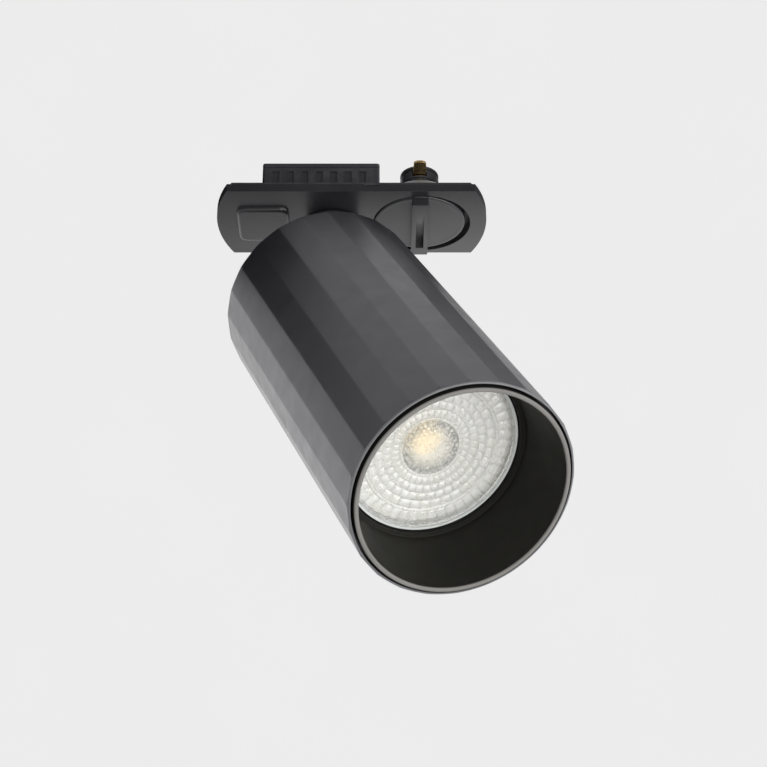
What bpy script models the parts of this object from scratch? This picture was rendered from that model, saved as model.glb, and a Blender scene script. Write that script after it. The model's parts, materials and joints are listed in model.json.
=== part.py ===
"""Track spotlight with a built-in single-circuit track adapter, an arm that pans, and a head that tilts.

Origin: centre of the adapter, in the plane of the track's underside.
+X runs along the track towards the locking knob, and +Z points up into the track.
The head hangs at its stored aim. Its own frame has the tilt pivot as origin, X along the tilt
axis and Z towards the head's rear.
"""

import math

import bmesh
import bpy
from mathutils import Vector

MM = 0.001
GAP = 0.3 * MM

# Adapter, seen from below: a plate with bowed ends, under the track's lips.
PLATE_HALF_LENGTH = 42.9 * MM
PLATE_CORNER_X = 38.7 * MM
PLATE_HALF_WIDTH = 17.5 * MM
PLATE_FACE_Z = -4.2 * MM
PLATE_TOP_Z = -1.4 * MM
PLATE_CHAMFER = 0.6 * MM
PAD_X = (-36.4 * MM, -19.8 * MM)
PAD_HALF_WIDTH = 9.0 * MM
PAD_FACE_Z = -5.6 * MM
KNOB_HOLE_X = 22.2 * MM
KNOB_HOLE_RADIUS = 15.5 * MM
PAN_BUSH_RADIUS = 5.6 * MM
NOTCH_X = (4.4 * MM, 8.6 * MM)
FLANGE_INSET = 1.3 * MM

# Housing that enters the track's slot.
HOUSING_HALF_WIDTH = 7.5 * MM
HOUSING_WALL = 1.4 * MM
DECK_TOP_Z = 1.8 * MM
DECK_X = (-38.0 * MM, 40.9 * MM)
BOX_X = (-28.5 * MM, 8.9 * MM)
BOX_TOP_Z = 12.0 * MM
LID_THICKNESS = 1.3 * MM
LID_TOP_Z = BOX_TOP_Z + GAP + LID_THICKNESS
LID_POSTS_X = (-25.7 * MM, 6.1 * MM)
PLATE_SCREWS_X = (-21.0 * MM, 2.2 * MM, 39.4 * MM)
PLATE_SCREW_HOLE = 1.25 * MM
HOOK_X = -33.5 * MM

# Locking knob.
KNOB_X = 21.7 * MM
KNOB_RADIUS = 14.4 * MM
KNOB_FACE_Z = -4.4 * MM
FIN_FACE_Z = -7.15 * MM
FIN_HALF_LENGTH = 14.1 * MM
FIN_HALF_WIDTH = 2.65 * MM
SLOT_Y = (-8.0 * MM, 10.2 * MM)
SLOT_HALF_WIDTH = 1.25 * MM
SLOT_DEPTH = 2.6 * MM
SHAFT_RADIUS = 5.0 * MM
SPINDLE_RADIUS = 2.4 * MM
SPINDLE_TOP_Z = 15.2 * MM
LOCK_HALF_LENGTH = 12.0 * MM
LOCK_HALF_WIDTH = 5.5 * MM

# Arm: its pan axis is vertical, and the head's tilt axis crosses it.
PAN_X = -6.2 * MM
PIVOT_Z = -37.9 * MM
AIM_AZIMUTH = math.radians(-59.3)
REST_TILT = math.radians(38.5)
LUG_ANGLE = math.pi / 2 - AIM_AZIMUTH
STEM_RADIUS = 8.25 * MM
STEM_BOTTOM_Z = -28.0 * MM
NIPPLE_RADIUS = 3.2 * MM
RUNNING_FIT = 0.08 * MM
HINGE_FIT = 0.1 * MM
TONGUE_HALF_THICKNESS = 2.7 * MM
HINGE_RADIUS = 6.0 * MM
HINGE_PIN_RADIUS = 1.95 * MM

# Head, along its own Z from the tilt pivot.
FACETS = 24
HEAD_CORNER_RADIUS = 31.4 * MM
HEAD_BORE_RADIUS = 29.4 * MM
HEAD_REAR = 6.6 * MM
TRIM_FRONT = -117.1 * MM
BODY_FRONT = TRIM_FRONT + 1.0 * MM
TRIM_RADIUS = 29.9 * MM
GROOVE_RADIUS = 30.45 * MM
GROOVE_DEPTH = 3.5 * MM
SNOOT_MOUTH_RADIUS = 28.6 * MM
SNOOT_THROAT_RADIUS = 26.6 * MM
CAP_OUTER = -9.5 * MM
CAP_INNER = -12.5 * MM
CAP_RADIUS = 29.0 * MM
BRACKET_SCREW_Y = 9.5 * MM
FOOT_X = 22.4 * MM
GROMMET_Y = -17.5 * MM

# Lamp: a 50 mm reflector lamp with a twist-lock base of two pins.
LAMP_FACE = -92.3 * MM
LAMP_RADIUS = 25.0 * MM
LAMP_LENGTH = 54.0 * MM
PIN_LENGTH = 7.4 * MM
PIN_ROWS_Y = (5.0 * MM, -5.0 * MM)
LAMP_BASE_END = LAMP_FACE + LAMP_LENGTH - PIN_LENGTH
LAMP_NECK = -60.0 * MM
HOLDER_FRONT = LAMP_BASE_END + GAP
HOLDER_REAR = HOLDER_FRONT + 17.7 * MM
HOLDER_RADIUS = 13.0 * MM
HOLDER_SCREWS_X = (8.5 * MM, -8.5 * MM)
HOLDER_SCREW_HOLE = 1.4 * MM

# Leads, as shares of the way from the lampholder to the grommet.
LEAD_ROWS_Y = (-10.4 * MM, -8.0 * MM)
LEAD_RADIUS = 0.6 * MM
BEND_STARTS_AT = 0.14
BEND_ENDS_AT = 0.7

# Sides of a turned shape, from the largest to the smallest.
FINE = 48
ROUND = 32
SMALL = 16
TINY = 8
AXIS_X = (0.0, math.pi / 2, 0.0)
UPRIGHT_ACROSS_X = (0.0, -math.pi / 2, 0.0)
UPRIGHT_ACROSS_Y = (math.pi / 2, 0.0, 0.0)


def clear_scene():
    for old in list(bpy.data.objects):
        bpy.data.objects.remove(old, do_unlink=True)


clear_scene()
PARTS = bpy.data.collections.new("track_spotlight")
CUTTERS = bpy.data.collections.new("track_spotlight_cutters")
bpy.context.scene.collection.children.link(PARTS)
bpy.context.scene.collection.children.link(CUTTERS)


# Materials


def material(name, colour, roughness, metallic=0.0):
    made = bpy.data.materials.new(name)
    made.use_nodes = True
    shader = made.node_tree.nodes["Principled BSDF"]
    shader.inputs["Base Color"].default_value = (*colour, 1.0)
    shader.inputs["Roughness"].default_value = roughness
    shader.inputs["Metallic"].default_value = metallic
    made.diffuse_color = (*colour, 1.0)
    return made


BLACK_PAINT = material("satin_black_paint", (0.018, 0.018, 0.021), 0.38, 0.2)
BLACK_PLASTIC = material("black_plastic", (0.024, 0.024, 0.028), 0.45)
SNOOT_BLACK = material("matt_black", (0.012, 0.012, 0.012), 0.7)
STEEL = material("zinc_steel", (0.55, 0.56, 0.58), 0.35, 1.0)
BRASS = material("brass", (0.78, 0.57, 0.26), 0.3, 1.0)
CERAMIC = material("ceramic", (0.85, 0.83, 0.78), 0.55)
WHITE_PLASTIC = material("white_plastic", (0.85, 0.85, 0.83), 0.4)
LENS = material("lamp_lens", (0.9, 0.92, 0.88), 0.08)
PHOSPHOR = material("phosphor", (0.95, 0.78, 0.32), 0.6)
CIRCUIT = material("circuit_board", (0.05, 0.2, 0.1), 0.5)
RUBBER = material("rubber", (0.02, 0.02, 0.02), 0.85)
BROWN_WIRE = material("brown_insulation", (0.16, 0.07, 0.03), 0.5)
BLUE_WIRE = material("blue_insulation", (0.03, 0.12, 0.45), 0.5)


# Modelling helpers: each makes one object in the parts collection


def place(name, mesh, surface, parent=None, at=(0, 0, 0), turn=(0, 0, 0)):
    mesh.materials.clear()
    mesh.materials.append(surface)
    made = bpy.data.objects.new(name, mesh)
    PARTS.objects.link(made)
    made.parent = parent
    made.location = at
    made.rotation_euler = turn
    return made


def turned(name, profile, surface, parent=None, steps=ROUND, at=(0, 0, 0), turn=(0, 0, 0), ring=False):
    """Turns (radius, height) points about Z. They run down the outer side, and a ring's back up inside."""
    mesh = bpy.data.meshes.new(name)
    edges = [(i, i + 1) for i in range(len(profile) - 1)]
    if ring:
        edges.append((len(profile) - 1, 0))
    mesh.from_pydata([(radius, 0, height) for radius, height in profile], edges, [])
    made = place(name, mesh, surface, parent, at, turn)
    screw = made.modifiers.new("turn", "SCREW")
    screw.steps = steps
    screw.render_steps = steps
    screw.use_merge_vertices = True
    screw.merge_threshold = 0.00001
    return made


def add_cylinder(shape, radius, bottom, top, steps, x=0, y=0):
    """Adds a closed cylinder about a vertical line to a bmesh."""
    sizes = {"radius1": radius, "radius2": radius, "depth": top - bottom}
    made = bmesh.ops.create_cone(shape, cap_ends=True, segments=steps, **sizes)
    bmesh.ops.translate(shape, vec=(x, y, (top + bottom) / 2), verts=made["verts"])


def rod(name, radius, bottom, top, surface, parent=None, steps=SMALL, at=(0, 0, 0), turn=(0, 0, 0)):
    """A plain cylinder about Z, between two heights."""
    mesh = bpy.data.meshes.new(name)
    shape = bmesh.new()
    add_cylinder(shape, radius, bottom, top, steps)
    shape.to_mesh(mesh)
    shape.free()
    return place(name, mesh, surface, parent, at, turn)


def washer(name, inner, outer, bottom, top, surface, parent=None, steps=SMALL, at=(0, 0, 0), turn=(0, 0, 0)):
    profile = [(inner, top), (outer, top), (outer, bottom), (inner, bottom)]
    return turned(name, profile, surface, parent, steps, at, turn, ring=True)


def box(name, low, high, surface, parent=None, bevel=0.0):
    """A box between two corners of its parent's frame, with its edges chamfered by bevel."""
    mesh = bpy.data.meshes.new(name)
    shape = bmesh.new()
    bmesh.ops.create_cube(shape, size=1.0)
    size = Vector(high) - Vector(low)
    bmesh.ops.scale(shape, vec=size, verts=shape.verts)
    shape.to_mesh(mesh)
    shape.free()
    made = place(name, mesh, surface, parent, (Vector(low) + Vector(high)) / 2)
    if bevel:
        rounding = made.modifiers.new("edges", "BEVEL")
        rounding.width = bevel
        rounding.segments = 1
    return made


def arc(centre_x, centre_y, radius, start, end, steps):
    """Points along an arc, from start to end in degrees, both ends included."""
    angles = [math.radians(start + (end - start) * i / steps) for i in range(steps + 1)]
    return [(centre_x + radius * math.cos(a), centre_y + radius * math.sin(a)) for a in angles]


def sheet(name, outline, bottom, top, surface, parent=None, at=(0, 0, 0), turn=(0, 0, 0), chamfer=0.0):
    """A flat outline in XY, filled between two heights, as a mesh that Booleans can cut."""
    curve = bpy.data.curves.new(name, "CURVE")
    curve.dimensions = "2D"
    curve.fill_mode = "BOTH"
    curve.extrude = (top - bottom) / 2 - chamfer
    curve.bevel_depth = chamfer
    curve.bevel_resolution = 0
    curve.offset = -chamfer
    spline = curve.splines.new("POLY")
    spline.points.add(len(outline) - 1)
    for point, (x, y) in zip(spline.points, outline):
        point.co = (x, y, 0, 1)
    spline.use_cyclic_u = True
    guide = bpy.data.objects.new(name + "_outline", curve)
    PARTS.objects.link(guide)
    evaluated = guide.evaluated_get(bpy.context.evaluated_depsgraph_get())
    mesh = bpy.data.meshes.new_from_object(evaluated)
    bpy.data.objects.remove(guide)
    shape = bmesh.new()
    shape.from_mesh(mesh)
    bmesh.ops.remove_doubles(shape, verts=shape.verts, dist=0.000002)
    bmesh.ops.translate(shape, vec=(0, 0, (top + bottom) / 2), verts=shape.verts)
    bmesh.ops.recalc_face_normals(shape, faces=shape.faces)
    shape.to_mesh(mesh)
    shape.free()
    mesh.name = name
    return place(name, mesh, surface, parent, at, turn)


def wire(name, route, radius, surface, parent=None):
    """A round wire through a smooth curve's points."""
    curve = bpy.data.curves.new(name, "CURVE")
    curve.dimensions = "3D"
    curve.bevel_depth = radius
    curve.bevel_resolution = 2
    curve.use_fill_caps = True
    spline = curve.splines.new("POLY")
    spline.points.add(len(route) - 1)
    for point, place_on_route in zip(spline.points, route):
        point.co = (*place_on_route, 1)
    made = bpy.data.objects.new(name, curve)
    curve.materials.append(surface)
    PARTS.objects.link(made)
    made.parent = parent
    return made


# The exact solver drops a thin triangle from these after several cuts.
MANIFOLD_SOLVED = ("adapter_plate", "rear_cap")


def combine(target, other, operation):
    """Cuts other out of target, joins it, or keeps what both share. Other becomes a hidden cutter."""
    PARTS.objects.unlink(other)
    CUTTERS.objects.link(other)
    other.hide_render = True
    other.display_type = "WIRE"
    change = target.modifiers.new(other.name, "BOOLEAN")
    change.operation = operation
    change.solver = "MANIFOLD" if target.name in MANIFOLD_SOLVED else "EXACT"
    change.object = other
    return target


def cut(target, other):
    return combine(target, other, "DIFFERENCE")


def join(target, other):
    return combine(target, other, "UNION")


def drill(target, holes, parent=None, steps=TINY):
    """Cuts vertical holes of the parent's frame, each (x, y, radius, bottom, top), with one cutter."""
    mesh = bpy.data.meshes.new(target.name + "_drill")
    shape = bmesh.new()
    for x, y, radius, bottom, top in holes:
        add_cylinder(shape, radius, bottom, top, steps, x, y)
    shape.to_mesh(mesh)
    shape.free()
    return cut(target, place(mesh.name, mesh, STEEL, parent))


def nut(name, bore, corner, bottom, top, parent, turn=(0, 0, 0)):
    """A hexagon nut about Z."""
    made = rod(name, corner, bottom, top, STEEL, parent, 6, turn=turn)
    return cut(made, rod(name + "_bore", bore, bottom - MM, top + MM, STEEL, parent, SMALL, turn=turn))


def pan_screw(name, at, parent, head, height, shank, length):
    """A round-headed screw whose head sits on the plane Z = 0 of its place, shank downwards."""
    edge = 0.35 * head
    profile = [
        (0, height),
        (head - edge, height),
        (head, height - edge),
        (head, 0),
        (shank, 0),
        (shank, -length + shank),
        (0.4 * shank, -length),
        (0, -length),
    ]
    return turned(name, profile, STEEL, parent, TINY, at)


# Joint frames


def axis_empty(name, parent=None, at=(0, 0, 0), turn=(0, 0, 0)):
    made = bpy.data.objects.new(name, None)
    PARTS.objects.link(made)
    made.parent = parent
    made.location = at
    made.rotation_euler = turn
    return made


knob_axis = axis_empty("knob_axis", at=(KNOB_X, 0, 0))
pan_axis = axis_empty("pan_axis", at=(PAN_X, 0, 0), turn=(0, 0, AIM_AZIMUTH - math.pi / 2))
tilt_axis = axis_empty("tilt_axis", pan_axis, at=(0, 0, PIVOT_Z), turn=(REST_TILT, 0, 0))


# Adapter


def bowed_outline(inset=0.0):
    """The plate's outline: two long straight sides and two ends bowed outwards."""
    half_width = PLATE_HALF_WIDTH - inset
    corner_x = PLATE_CORNER_X - inset
    bow = PLATE_HALF_LENGTH - PLATE_CORNER_X
    radius = (half_width**2 + bow**2) / (2 * bow)
    half_angle = math.degrees(math.asin(half_width / radius))
    centre_x = corner_x + bow - radius
    right = arc(centre_x, 0, radius, -half_angle, half_angle, 8)
    left = arc(-centre_x, 0, radius, 180 - half_angle, 180 + half_angle, 8)
    return right + left


def make_plate():
    levels = (PLATE_FACE_Z, PLATE_TOP_Z)
    plate = sheet("adapter_plate", bowed_outline(), *levels, BLACK_PLASTIC, chamfer=PLATE_CHAMFER)
    pad_low = (PAD_X[0], -PAD_HALF_WIDTH, PAD_FACE_Z)
    pad_high = (PAD_X[1], PAD_HALF_WIDTH, PLATE_FACE_Z + 1.0 * MM)
    join(plate, box("adapter_plate_pad", pad_low, pad_high, BLACK_PLASTIC, bevel=0.5 * MM))
    knob_well = [
        (0, PLATE_TOP_Z + MM),
        (KNOB_HOLE_RADIUS, PLATE_TOP_Z + MM),
        (KNOB_HOLE_RADIUS, PLATE_FACE_Z + 0.4 * MM),
        (KNOB_HOLE_RADIUS + 0.9 * MM, PLATE_FACE_Z - 0.5 * MM),
        (0, PLATE_FACE_Z - 0.5 * MM),
    ]
    notch_low = (NOTCH_X[0], -PLATE_HALF_WIDTH - MM, PLATE_TOP_Z - 0.8 * MM)
    notch_high = (NOTCH_X[1], -PLATE_HALF_WIDTH + 1.5 * MM, PLATE_TOP_Z + MM)
    cut(plate, box("adapter_plate_notch", notch_low, notch_high, STEEL))
    cut(plate, turned("adapter_plate_well", knob_well, STEEL, None, FINE, (KNOB_HOLE_X, 0, 0)))
    drill(plate, [(PAN_X, 0, PAN_BUSH_RADIUS + GAP, PLATE_FACE_Z - MM, PLATE_TOP_Z + MM)], steps=ROUND)
    blind = PLATE_FACE_Z + 0.8 * MM
    drill(plate, [(x, 0, PLATE_SCREW_HOLE, blind, PLATE_TOP_Z + MM) for x in PLATE_SCREWS_X])


def make_base():
    base = sheet("adapter_base", bowed_outline(FLANGE_INSET), PLATE_TOP_Z + GAP, 0.0, BLACK_PLASTIC)
    sink = -0.5 * MM
    deck_low = (DECK_X[0], -HOUSING_HALF_WIDTH, sink)
    deck_high = (DECK_X[1], HOUSING_HALF_WIDTH, DECK_TOP_Z)
    join(base, box("adapter_base_deck", deck_low, deck_high, BLACK_PLASTIC))
    walls_low = (BOX_X[0], -HOUSING_HALF_WIDTH, sink)
    walls_high = (BOX_X[1], HOUSING_HALF_WIDTH, BOX_TOP_Z)
    join(base, box("adapter_base_walls", walls_low, walls_high, BLACK_PLASTIC))
    inside = HOUSING_HALF_WIDTH - HOUSING_WALL
    room_low = (BOX_X[0] + HOUSING_WALL, -inside, DECK_TOP_Z)
    room_high = (BOX_X[1] - HOUSING_WALL, inside, BOX_TOP_Z + MM)
    cut(base, box("adapter_base_room", room_low, room_high, STEEL))
    post = (1.9 * MM, 1.0 * MM, BOX_TOP_Z - GAP)
    for x in LID_POSTS_X:
        join(base, rod("adapter_base_post", *post, BLACK_PLASTIC, None, TINY, (x, 0, 0)))
    stop_low = (PAN_X - 6.4 * MM, -0.4 * MM, 1.0 * MM)
    stop_high = (PAN_X - 5.1 * MM, 0.4 * MM, 3.0 * MM)
    join(base, box("adapter_base_stop", stop_low, stop_high, BLACK_PLASTIC))
    shaft_holes = [(PAN_X, NIPPLE_RADIUS), (KNOB_X, SHAFT_RADIUS)]
    drill(base, [(x, 0, radius + RUNNING_FIT, -2 * MM, 3 * MM) for x, radius in shaft_holes], steps=ROUND)
    screw_holes = [(x, 0, 0.95 * MM, 6.3 * MM, BOX_TOP_Z + MM) for x in LID_POSTS_X]
    screw_holes += [(x, 0, PLATE_SCREW_HOLE, -2 * MM, 3 * MM) for x in PLATE_SCREWS_X]
    screw_holes.append((HOOK_X, 0, PLATE_SCREW_HOLE, 0.0, 3 * MM))
    drill(base, screw_holes)


def make_housing():
    lid_low = (BOX_X[0], -HOUSING_HALF_WIDTH, BOX_TOP_Z + GAP)
    lid_high = (BOX_X[1], HOUSING_HALF_WIDTH, LID_TOP_Z)
    lid = box("housing_lid", lid_low, lid_high, BLACK_PLASTIC, bevel=0.3 * MM)
    drill(lid, [(x, 0, 1.1 * MM, BOX_TOP_Z, LID_TOP_Z + MM) for x in LID_POSTS_X])
    for number, x in enumerate(LID_POSTS_X, 1):
        at = (x, 0, LID_TOP_Z + GAP)
        pan_screw(f"lid_screw_{number}", at, None, 1.7 * MM, 0.9 * MM, 0.85 * MM, 6.0 * MM)
    for number, x in enumerate(PLATE_SCREWS_X, 1):
        at = (x, 0, DECK_TOP_Z + GAP)
        pan_screw(f"plate_screw_{number}", at, None, 1.8 * MM, 1.1 * MM, 0.95 * MM, 4.6 * MM)
    bush = (NIPPLE_RADIUS + GAP, PAN_BUSH_RADIUS, PLATE_FACE_Z, PLATE_TOP_Z)
    washer("pan_bush", *bush, WHITE_PLASTIC, None, ROUND, (PAN_X, 0, 0))


def make_hook():
    hook_bottom = DECK_TOP_Z + GAP
    hook_top = hook_bottom + 1.2 * MM
    low = (HOOK_X - 3.5 * MM, -6.5 * MM, hook_bottom)
    hook = box("fixed_hook", low, (HOOK_X + 3.5 * MM, 11.5 * MM, hook_top), STEEL, bevel=0.3 * MM)
    drill(hook, [(HOOK_X, 0, 1.5 * MM, hook_bottom - MM, hook_top + MM)])
    pan_screw("hook_screw", (HOOK_X, 0, hook_top + GAP), None, 2.4 * MM, 1.3 * MM, 0.95 * MM, 3.0 * MM)


def make_earth_spring():
    """A bowed leaf on the lid, which presses on the earthed top web of the track."""
    half = 6.5 * MM
    rise = 1.3 * MM
    radius = (half**2 + rise**2) / (2 * rise)
    reach = math.degrees(math.asin(half / radius))
    outer = arc(0, rise - radius, radius, 90 + reach, 90 - reach, 8)
    inner = arc(0, rise - radius, radius - 0.4 * MM, 90 - reach, 90 + reach, 8)
    at = (-9.5 * MM, 0, LID_TOP_Z + GAP + 0.45 * MM)
    sheet("earth_contact", outer + inner, -2.5 * MM, 2.5 * MM, BRASS, None, at, UPRIGHT_ACROSS_Y)


def make_terminal_block():
    low = Vector((-19.0 * MM, -5.6 * MM, DECK_TOP_Z + GAP))
    high = Vector((-13.4 * MM, 5.6 * MM, DECK_TOP_Z + GAP + 7.0 * MM))
    block = box("terminal_block", low, high, WHITE_PLASTIC, bevel=0.3 * MM)
    middle_x = (low.x + high.x) / 2
    rows = (-2.7 * MM, 2.7 * MM)
    drill(block, [(middle_x, y, 1.5 * MM, high.z - 4 * MM, high.z + MM) for y in rows])
    screw = (1.15 * MM, high.z - 3.6 * MM, high.z - 0.6 * MM)
    for number, y in enumerate(rows, 1):
        rod(f"terminal_screw_{number}", *screw, BRASS, None, TINY, (middle_x, y, 0))
        entry_at = (high.x, y, low.z + 2 * MM)
        entry = (1.1 * MM, -2 * MM, 2.4 * MM)
        cut(block, rod("terminal_block_entry", *entry, STEEL, None, TINY, entry_at, AXIS_X))


# Locking knob: turning it a quarter swings the lock plate and the contact blades across the slot


def make_knob():
    disc = [
        (0, PLATE_TOP_Z),
        (KNOB_RADIUS, PLATE_TOP_Z),
        (KNOB_RADIUS, KNOB_FACE_Z + 0.4 * MM),
        (KNOB_RADIUS - 0.4 * MM, KNOB_FACE_Z),
        (0, KNOB_FACE_Z),
    ]
    knob = turned("locking_knob", disc, BLACK_PLASTIC, knob_axis, FINE)
    fin_low = (-FIN_HALF_WIDTH, -FIN_HALF_LENGTH, FIN_FACE_Z)
    fin_high = (FIN_HALF_WIDTH, FIN_HALF_LENGTH, KNOB_FACE_Z + 1.5 * MM)
    join(knob, box("locking_knob_fin", fin_low, fin_high, BLACK_PLASTIC, knob_axis, bevel=0.3 * MM))
    near, far = SLOT_Y
    below = FIN_FACE_Z - MM
    floor = FIN_FACE_Z + SLOT_DEPTH
    ramp = [(near, below), (near, FIN_FACE_Z), (0.5 * MM, floor), (far, floor), (far, below)]
    turn = (math.pi / 2, 0, math.pi / 2)
    sides = (-SLOT_HALF_WIDTH, SLOT_HALF_WIDTH)
    cut(knob, sheet("locking_knob_slot", ramp, *sides, STEEL, knob_axis, turn=turn))
    shaft_profile = [
        (0, SPINDLE_TOP_Z),
        (SPINDLE_RADIUS, SPINDLE_TOP_Z),
        (SPINDLE_RADIUS, DECK_TOP_Z + GAP),
        (SHAFT_RADIUS, DECK_TOP_Z + GAP),
        (SHAFT_RADIUS, PLATE_TOP_Z + GAP),
        (0, PLATE_TOP_Z + GAP),
    ]
    turned("knob_shaft", shaft_profile, STEEL, knob_axis, ROUND)


def make_knob_stack():
    """Lock plate, contact carrier with its two blades, and the clip that holds them on the spindle."""
    bore = SPINDLE_RADIUS + GAP
    lock_bottom = DECK_TOP_Z + 2 * GAP
    lock_top = lock_bottom + 1.5 * MM
    reach = math.degrees(math.asin(LOCK_HALF_WIDTH / LOCK_HALF_LENGTH))
    outline = arc(0, 0, LOCK_HALF_LENGTH, 90 - reach, 90 + reach, 6)
    outline += arc(0, 0, LOCK_HALF_LENGTH, 270 - reach, 270 + reach, 6)
    lock = sheet("lock_plate", outline, lock_bottom, lock_top, STEEL, knob_axis)
    drill(lock, [(0, 0, bore, lock_bottom - MM, lock_top + MM)], knob_axis, SMALL)
    carrier_bottom = lock_top + GAP
    carrier_top = 13.6 * MM
    sizes = (bore, 6.2 * MM, carrier_bottom, carrier_top)
    carrier = washer("contact_carrier", *sizes, BLACK_PLASTIC, knob_axis, ROUND)
    half_blade = 2.0 * MM
    thickness = 0.8 * MM
    for name, side, level in (("live_contact", 1, 6.2 * MM), ("neutral_contact", -1, 10.2 * MM)):
        ends = sorted((side * 3.4 * MM, side * 12.8 * MM))
        low = (-half_blade, ends[0], level)
        box(name, low, (half_blade, ends[1], level + thickness), BRASS, knob_axis, bevel=0.2 * MM)
        pocket_ends = sorted((side * 3.1 * MM, side * 8.0 * MM))
        pocket_low = (-half_blade - GAP, pocket_ends[0], level - GAP)
        pocket_high = (half_blade + GAP, pocket_ends[1], level + thickness + GAP)
        cut(carrier, box(name + "_pocket", pocket_low, pocket_high, STEEL, knob_axis))
    washer("spindle_clip", bore, 4.3 * MM, carrier_top + GAP, carrier_top + 1.1 * MM, STEEL, knob_axis)


# Arm: hollow stem, threaded nipple through the adapter, and the knuckle that carries the tilt hinge


def make_arm():
    stem_top = PLATE_FACE_Z - GAP
    nipple_hole = NIPPLE_RADIUS + GAP
    tube = [
        (nipple_hole, stem_top),
        (STEM_RADIUS - 0.4 * MM, stem_top),
        (STEM_RADIUS, stem_top - 0.4 * MM),
        (STEM_RADIUS, STEM_BOTTOM_Z),
        (6.5 * MM, STEM_BOTTOM_Z),
        (6.5 * MM, stem_top - 2.5 * MM),
        (nipple_hole, stem_top - 2.5 * MM),
    ]
    stem = turned("stem_tube", tube, BLACK_PAINT, pan_axis, ROUND, ring=True)
    grub_at = (0, -7.3 * MM, STEM_BOTTOM_Z + 3 * MM)
    tap = rod("stem_tube_tap", 1.6 * MM, -3 * MM, 3 * MM, STEEL, pan_axis, TINY, grub_at, UPRIGHT_ACROSS_Y)
    cut(stem, tap)
    grub = (1.25 * MM, -0.75 * MM, 0.75 * MM)
    rod("stem_grub_screw", *grub, STEEL, pan_axis, TINY, grub_at, UPRIGHT_ACROSS_Y)
    washer("stem_nipple", 2.0 * MM, NIPPLE_RADIUS, stem_top - 5 * MM, 7.4 * MM, BRASS, pan_axis, ROUND)


def make_stop_washer():
    """The washer whose lug meets the rib in the base, and the nut above it."""
    bore = NIPPLE_RADIUS + GAP
    bottom = DECK_TOP_Z + GAP
    top = bottom + 0.8 * MM
    stop = washer("stop_washer", bore, 4.7 * MM, bottom, top, STEEL, pan_axis)
    lug_reach = 5.0 * MM
    lug = box("stop_washer_lug", (-0.8 * MM, -0.5 * MM, bottom), (0.8 * MM, 0.5 * MM, top), STEEL, pan_axis)
    lug.location += Vector((lug_reach * math.cos(LUG_ANGLE), lug_reach * math.sin(LUG_ANGLE), 0))
    lug.rotation_euler = (0, 0, LUG_ANGLE)
    join(stop, lug)
    nut("pan_nut", bore, 5.7 * MM, top + GAP, top + GAP + 2.6 * MM, pan_axis)


def make_knuckle():
    top = STEM_BOTTOM_Z - GAP
    bottom = top - 1.8 * MM
    disc = [
        (0, top + 6 * MM),
        (6.2 * MM, top + 6 * MM),
        (6.2 * MM, top),
        (STEM_RADIUS, top),
        (STEM_RADIUS, bottom + 0.4 * MM),
        (STEM_RADIUS - 0.4 * MM, bottom),
        (0, bottom),
    ]
    knuckle = turned("knuckle", disc, BLACK_PAINT, pan_axis, ROUND)
    root = bottom - PIVOT_Z + 0.8 * MM
    outline = [(root, -HINGE_RADIUS), (root, HINGE_RADIUS)]
    outline += arc(0, 0, HINGE_RADIUS, 90, 270, 12)
    half = TONGUE_HALF_THICKNESS
    pivot = (0, 0, PIVOT_Z)
    tongue = sheet("knuckle_tongue", outline, -half, half, BLACK_PAINT, pan_axis, pivot, UPRIGHT_ACROSS_X)
    join(knuckle, tongue)
    eye_radius = HINGE_PIN_RADIUS + HINGE_FIT
    cut(knuckle, rod("knuckle_eye", eye_radius, -4 * MM, 4 * MM, STEEL, pan_axis, ROUND, pivot, AXIS_X))
    drill(knuckle, [(4.5 * MM, 0, 1.5 * MM, bottom - MM, top + 7 * MM)], pan_axis)


# Head: hinge, rear cap and faceted body


def make_hinge():
    ear_inner = TONGUE_HALF_THICKNESS + 1.4 * MM
    ear_outer = ear_inner + 3 * MM
    base_bottom = CAP_OUTER + GAP
    base_top = base_bottom + 2 * MM
    base_half = 13 * MM
    base_low = (-ear_outer, -base_half, base_bottom)
    bracket = box("hinge_bracket", base_low, (ear_outer, base_half, base_top), BLACK_PAINT, tilt_axis)
    outline = [(base_bottom + 0.5 * MM, HINGE_RADIUS), (base_bottom + 0.5 * MM, -HINGE_RADIUS)]
    outline += arc(0, 0, HINGE_RADIUS, -90, 90, 12)
    for side, low, high in ((1, ear_inner, ear_outer), (-1, -ear_outer, -ear_inner)):
        ear = sheet("hinge_bracket_ear", outline, low, high, BLACK_PAINT, tilt_axis, turn=UPRIGHT_ACROSS_X)
        join(bracket, ear)
        washer_ends = sorted((side * (TONGUE_HALF_THICKNESS + GAP), side * (ear_inner - GAP)))
        name = "friction_washer_1" if side > 0 else "friction_washer_2"
        washer(name, 2.3 * MM, 5.2 * MM, *washer_ends, WHITE_PLASTIC, tilt_axis, turn=AXIS_X)
    cut(bracket, rod("hinge_bracket_eye", 2.2 * MM, -9 * MM, 9 * MM, STEEL, tilt_axis, SMALL, turn=AXIS_X))
    sink_depth = 1.3 * MM
    hole = 1.6 * MM
    sink = [
        (0, base_top + MM),
        (3.9 * MM, base_top + MM),
        (hole, base_top - sink_depth),
        (hole, base_bottom - MM),
        (0, base_bottom - MM),
    ]
    shank = 1.2 * MM
    flush = base_top - 0.1 * MM
    tip = CAP_INNER - 2 * MM
    flat_head = [(0, flush), (2.5 * MM, flush), (shank, flush - sink_depth), (shank, tip), (0, tip)]
    for number, y in enumerate((BRACKET_SCREW_Y, -BRACKET_SCREW_Y), 1):
        cut(bracket, turned("hinge_bracket_sink", sink, STEEL, tilt_axis, TINY, (0, y, 0)))
        turned(f"bracket_screw_{number}", flat_head, STEEL, tilt_axis, TINY, (0, y, 0))
    make_tilt_bolt(ear_outer + GAP)


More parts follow.
